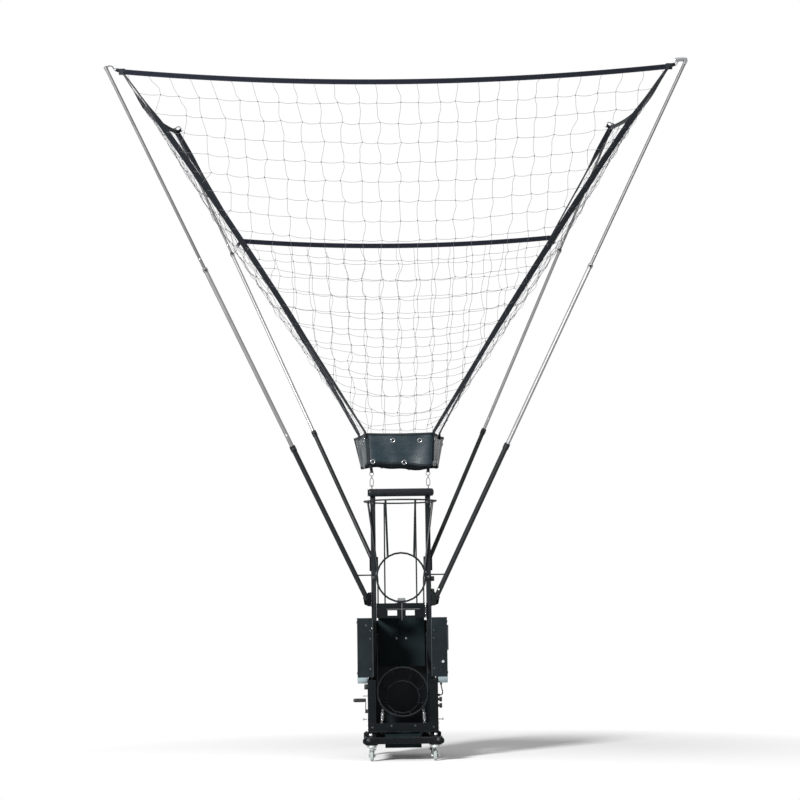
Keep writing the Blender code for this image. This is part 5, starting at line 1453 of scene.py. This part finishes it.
# Foot and tip of each right pole, how far its sleeve and middle tube reach, and its radii
POLES = {
    "front": ((0.176, -0.075, 0.805), (1.420, -0.680, 3.400), (0.860, 1.847),
              (0.0130, 0.0108, 0.0080)),
    "rear": ((0.139, -0.006, 0.985), (1.210, 0.680, 3.400), (0.780, 1.900),
             (0.0110, 0.0086, 0.0062)),
}


def each_pole():
    """End, side name, foot, direction, lengths and radii of the four poles."""
    for end, (foot, tip, lengths, radii) in POLES.items():
        for side_name, side in SIDES.items():
            foot_here, tip_here = sided(foot, side), sided(tip, side)
            yield end, side_name, foot_here, (tip_here - foot_here).normalized(), lengths, radii


def make_pole_fittings():
    """Clamp screws and collar rings, snap buttons and a ring at each sleeve's foot, on the
    telescoping poles.
    """
    hand = Vector(FRONT)
    for end, side_name, foot, ahead, (sleeve_end, middle_end), radii in each_pole():
        off = (hand - ahead * hand.dot(ahead)).normalized()
        sleeve, middle, top = (f"{end}_pole_{part}_{side_name}"
                               for part in ("sleeve", "middle", "top"))
        for label, along, radius, body in (
            ("lower", sleeve_end - 0.016, radii[0] + 0.0024, sleeve),
            ("upper", middle_end - 0.011, radii[1] + 0.0024, middle),
        ):
            centre = foot + ahead * along
            screw = post(0.0062, 0.0150, centre + off * (radius - 0.0006), off, 16, 0.0018)
            placed(screw, f"{end}_clamp_screw_{label}_{side_name}", "plastic", body)
            collar = ring(centre, ahead, radius, 0.0009, 32, 6)
            placed(collar, f"{end}_collar_ring_{label}_{side_name}", "column", body)
        for label, along, radius, size, body in (
            ("snap", sleeve_end + 0.060, radii[1], (0.0034, 0.0026), middle),
            ("top", middle_end + 0.050, radii[2], (0.0030, 0.0024), top),
        ):
            place = foot + ahead * along + off * (radius - 0.0004)
            button = post(*size, place, off, 16, 0.0009 if label == "snap" else 0.0008)
            placed(button, f"{end}_{label}_button_{side_name}", "bright_bolt", body)
        wrap = ring(foot + ahead * 0.060, ahead, radii[0] + 0.0004, 0.0010, 32, 6)
        placed(wrap, f"{end}_sleeve_foot_ring_{side_name}", "column", sleeve)


def make_tip_cap():
    """Bright elbow on the tip of the right front pole, its short arm turned towards the net."""
    foot, tip = (Vector(p) for p in POLES["front"][:2])
    ahead = (tip - foot).normalized()
    stem = post(0.0096, 0.020, tip - ahead * 0.019, ahead, 24, 0.0020)
    bend = rod(bent([tip - ahead * 0.002, tip + Vector((0, 0, 0.0055)),
                     tip + Vector((-0.010, 0, 0.0075))], 0.003), 0.0088, 20)
    arm = post(0.0105, 0.044, tip + Vector((-0.008, 0, 0.0072)), (-1, 0.05, -0.06), 24, 0.0024)
    placed(joined([stem, bend, arm]), "front_tip_elbow_right", "chrome", "front_pole_top_right")


# Finishes of the parts that the model gives

PART_FINISHES = {
    "wheel": ("caster_wheel",),
    "caster": ("caster_fork",),
    "bay": ("base_tray", "bay_back"),
    "base": ("base",),
    "frame": ("side_frame", "lower_cross", "chute_frame", "front_bracket", "rear_bracket"),
    "column": ("column", "top_bar"),
    "chrome": ("snap_hook", "throw_spring"),
    "cage": ("guide_cage", "throw_arm"),
    "grey_rubber": ("release_gate",),
    "cover": ("side_cover", "rear_cover"),
    "motor": ("gear_motor",),
    "bright_bolt": ("drive_crank",),
    "plastic": ("control_box", "adjuster_crank", "clamp_knob"),
    "button": ("power_button",),
    "cable": ("side_cable",),
    "vinyl": ("net_funnel",),
    "twine": ("net_front_panel", "net_rear_wrap"),
    "strap": ("net_strap",),
    "band": ("net_front_band", "net_back_band"),
}


def assign_finishes():
    """Every part of the model gets its own finish in place of its plain one."""
    for end, side_name, _, ahead, _, _ in each_pole():
        turn = ahead.rotation_difference(UP).to_euler()
        label = f"{end}_{side_name}"
        FINISH["sleeve_" + label] = finish_of(
            "pole_sleeve_black_" + label, "drawn",
            {"Colour": (0.0055, 0.0068, 0.0080), "Mark Colour": (0.018, 0.020, 0.022),
             "Marks": 0.4, "Low Roughness": 0.38, "High Roughness": 0.52},
            turn=turn, bump=0.10, Specular_IOR_Level=0.16)
        for part, colour, mark in (("middle", 0.25, 0.15), ("top", 0.15, 0.09)):
            FINISH[f"{part}_{label}"] = finish_of(
                f"pole_{part}_steel_{label}", "drawn",
                {"Colour": (colour, colour, colour * 1.02), "Mark Colour": (mark, mark, mark),
                 "Marks": 0.5, "Low Roughness": 0.32, "High Roughness": 0.44},
                turn=turn, bump=0.06, Metallic=1.0)
    for name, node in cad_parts.items():
        if "_pole_" in name:
            end, _, part, side_name = name.split("_")
            key = f"{part}_{end}_{side_name}"
        else:
            key = next(finish for finish, starts in PART_FINISHES.items()
                       if name.startswith(starts))
        wear_finish(node, key)


# The whole machine

add_camera()
make_cable()
add_studio()
assign_finishes()
make_net()
band("band_front", "net_front_band", front_line, front_folded,
     lambda share: front_surface(share, 1), 45)
band("band_back", "net_back_band", back_line, back_folded, lambda share: back_surface(share, 1), 27)
for each_side in SIDES:
    make_side_straps(each_side)
    make_spring(each_side)
make_corners()
make_funnel()
make_base_fittings()
make_cover_fittings()
make_column_fittings()
make_chute_fittings()
make_pole_fittings()
make_tip_cap()
fix(bolt, 0.0062, "arm_axle_caps", "bright_bolt", both(RIGHT, (0.1862, 0.0, 0.600)), "throw_arm")

SCENE.view_settings.view_transform = "Standard"
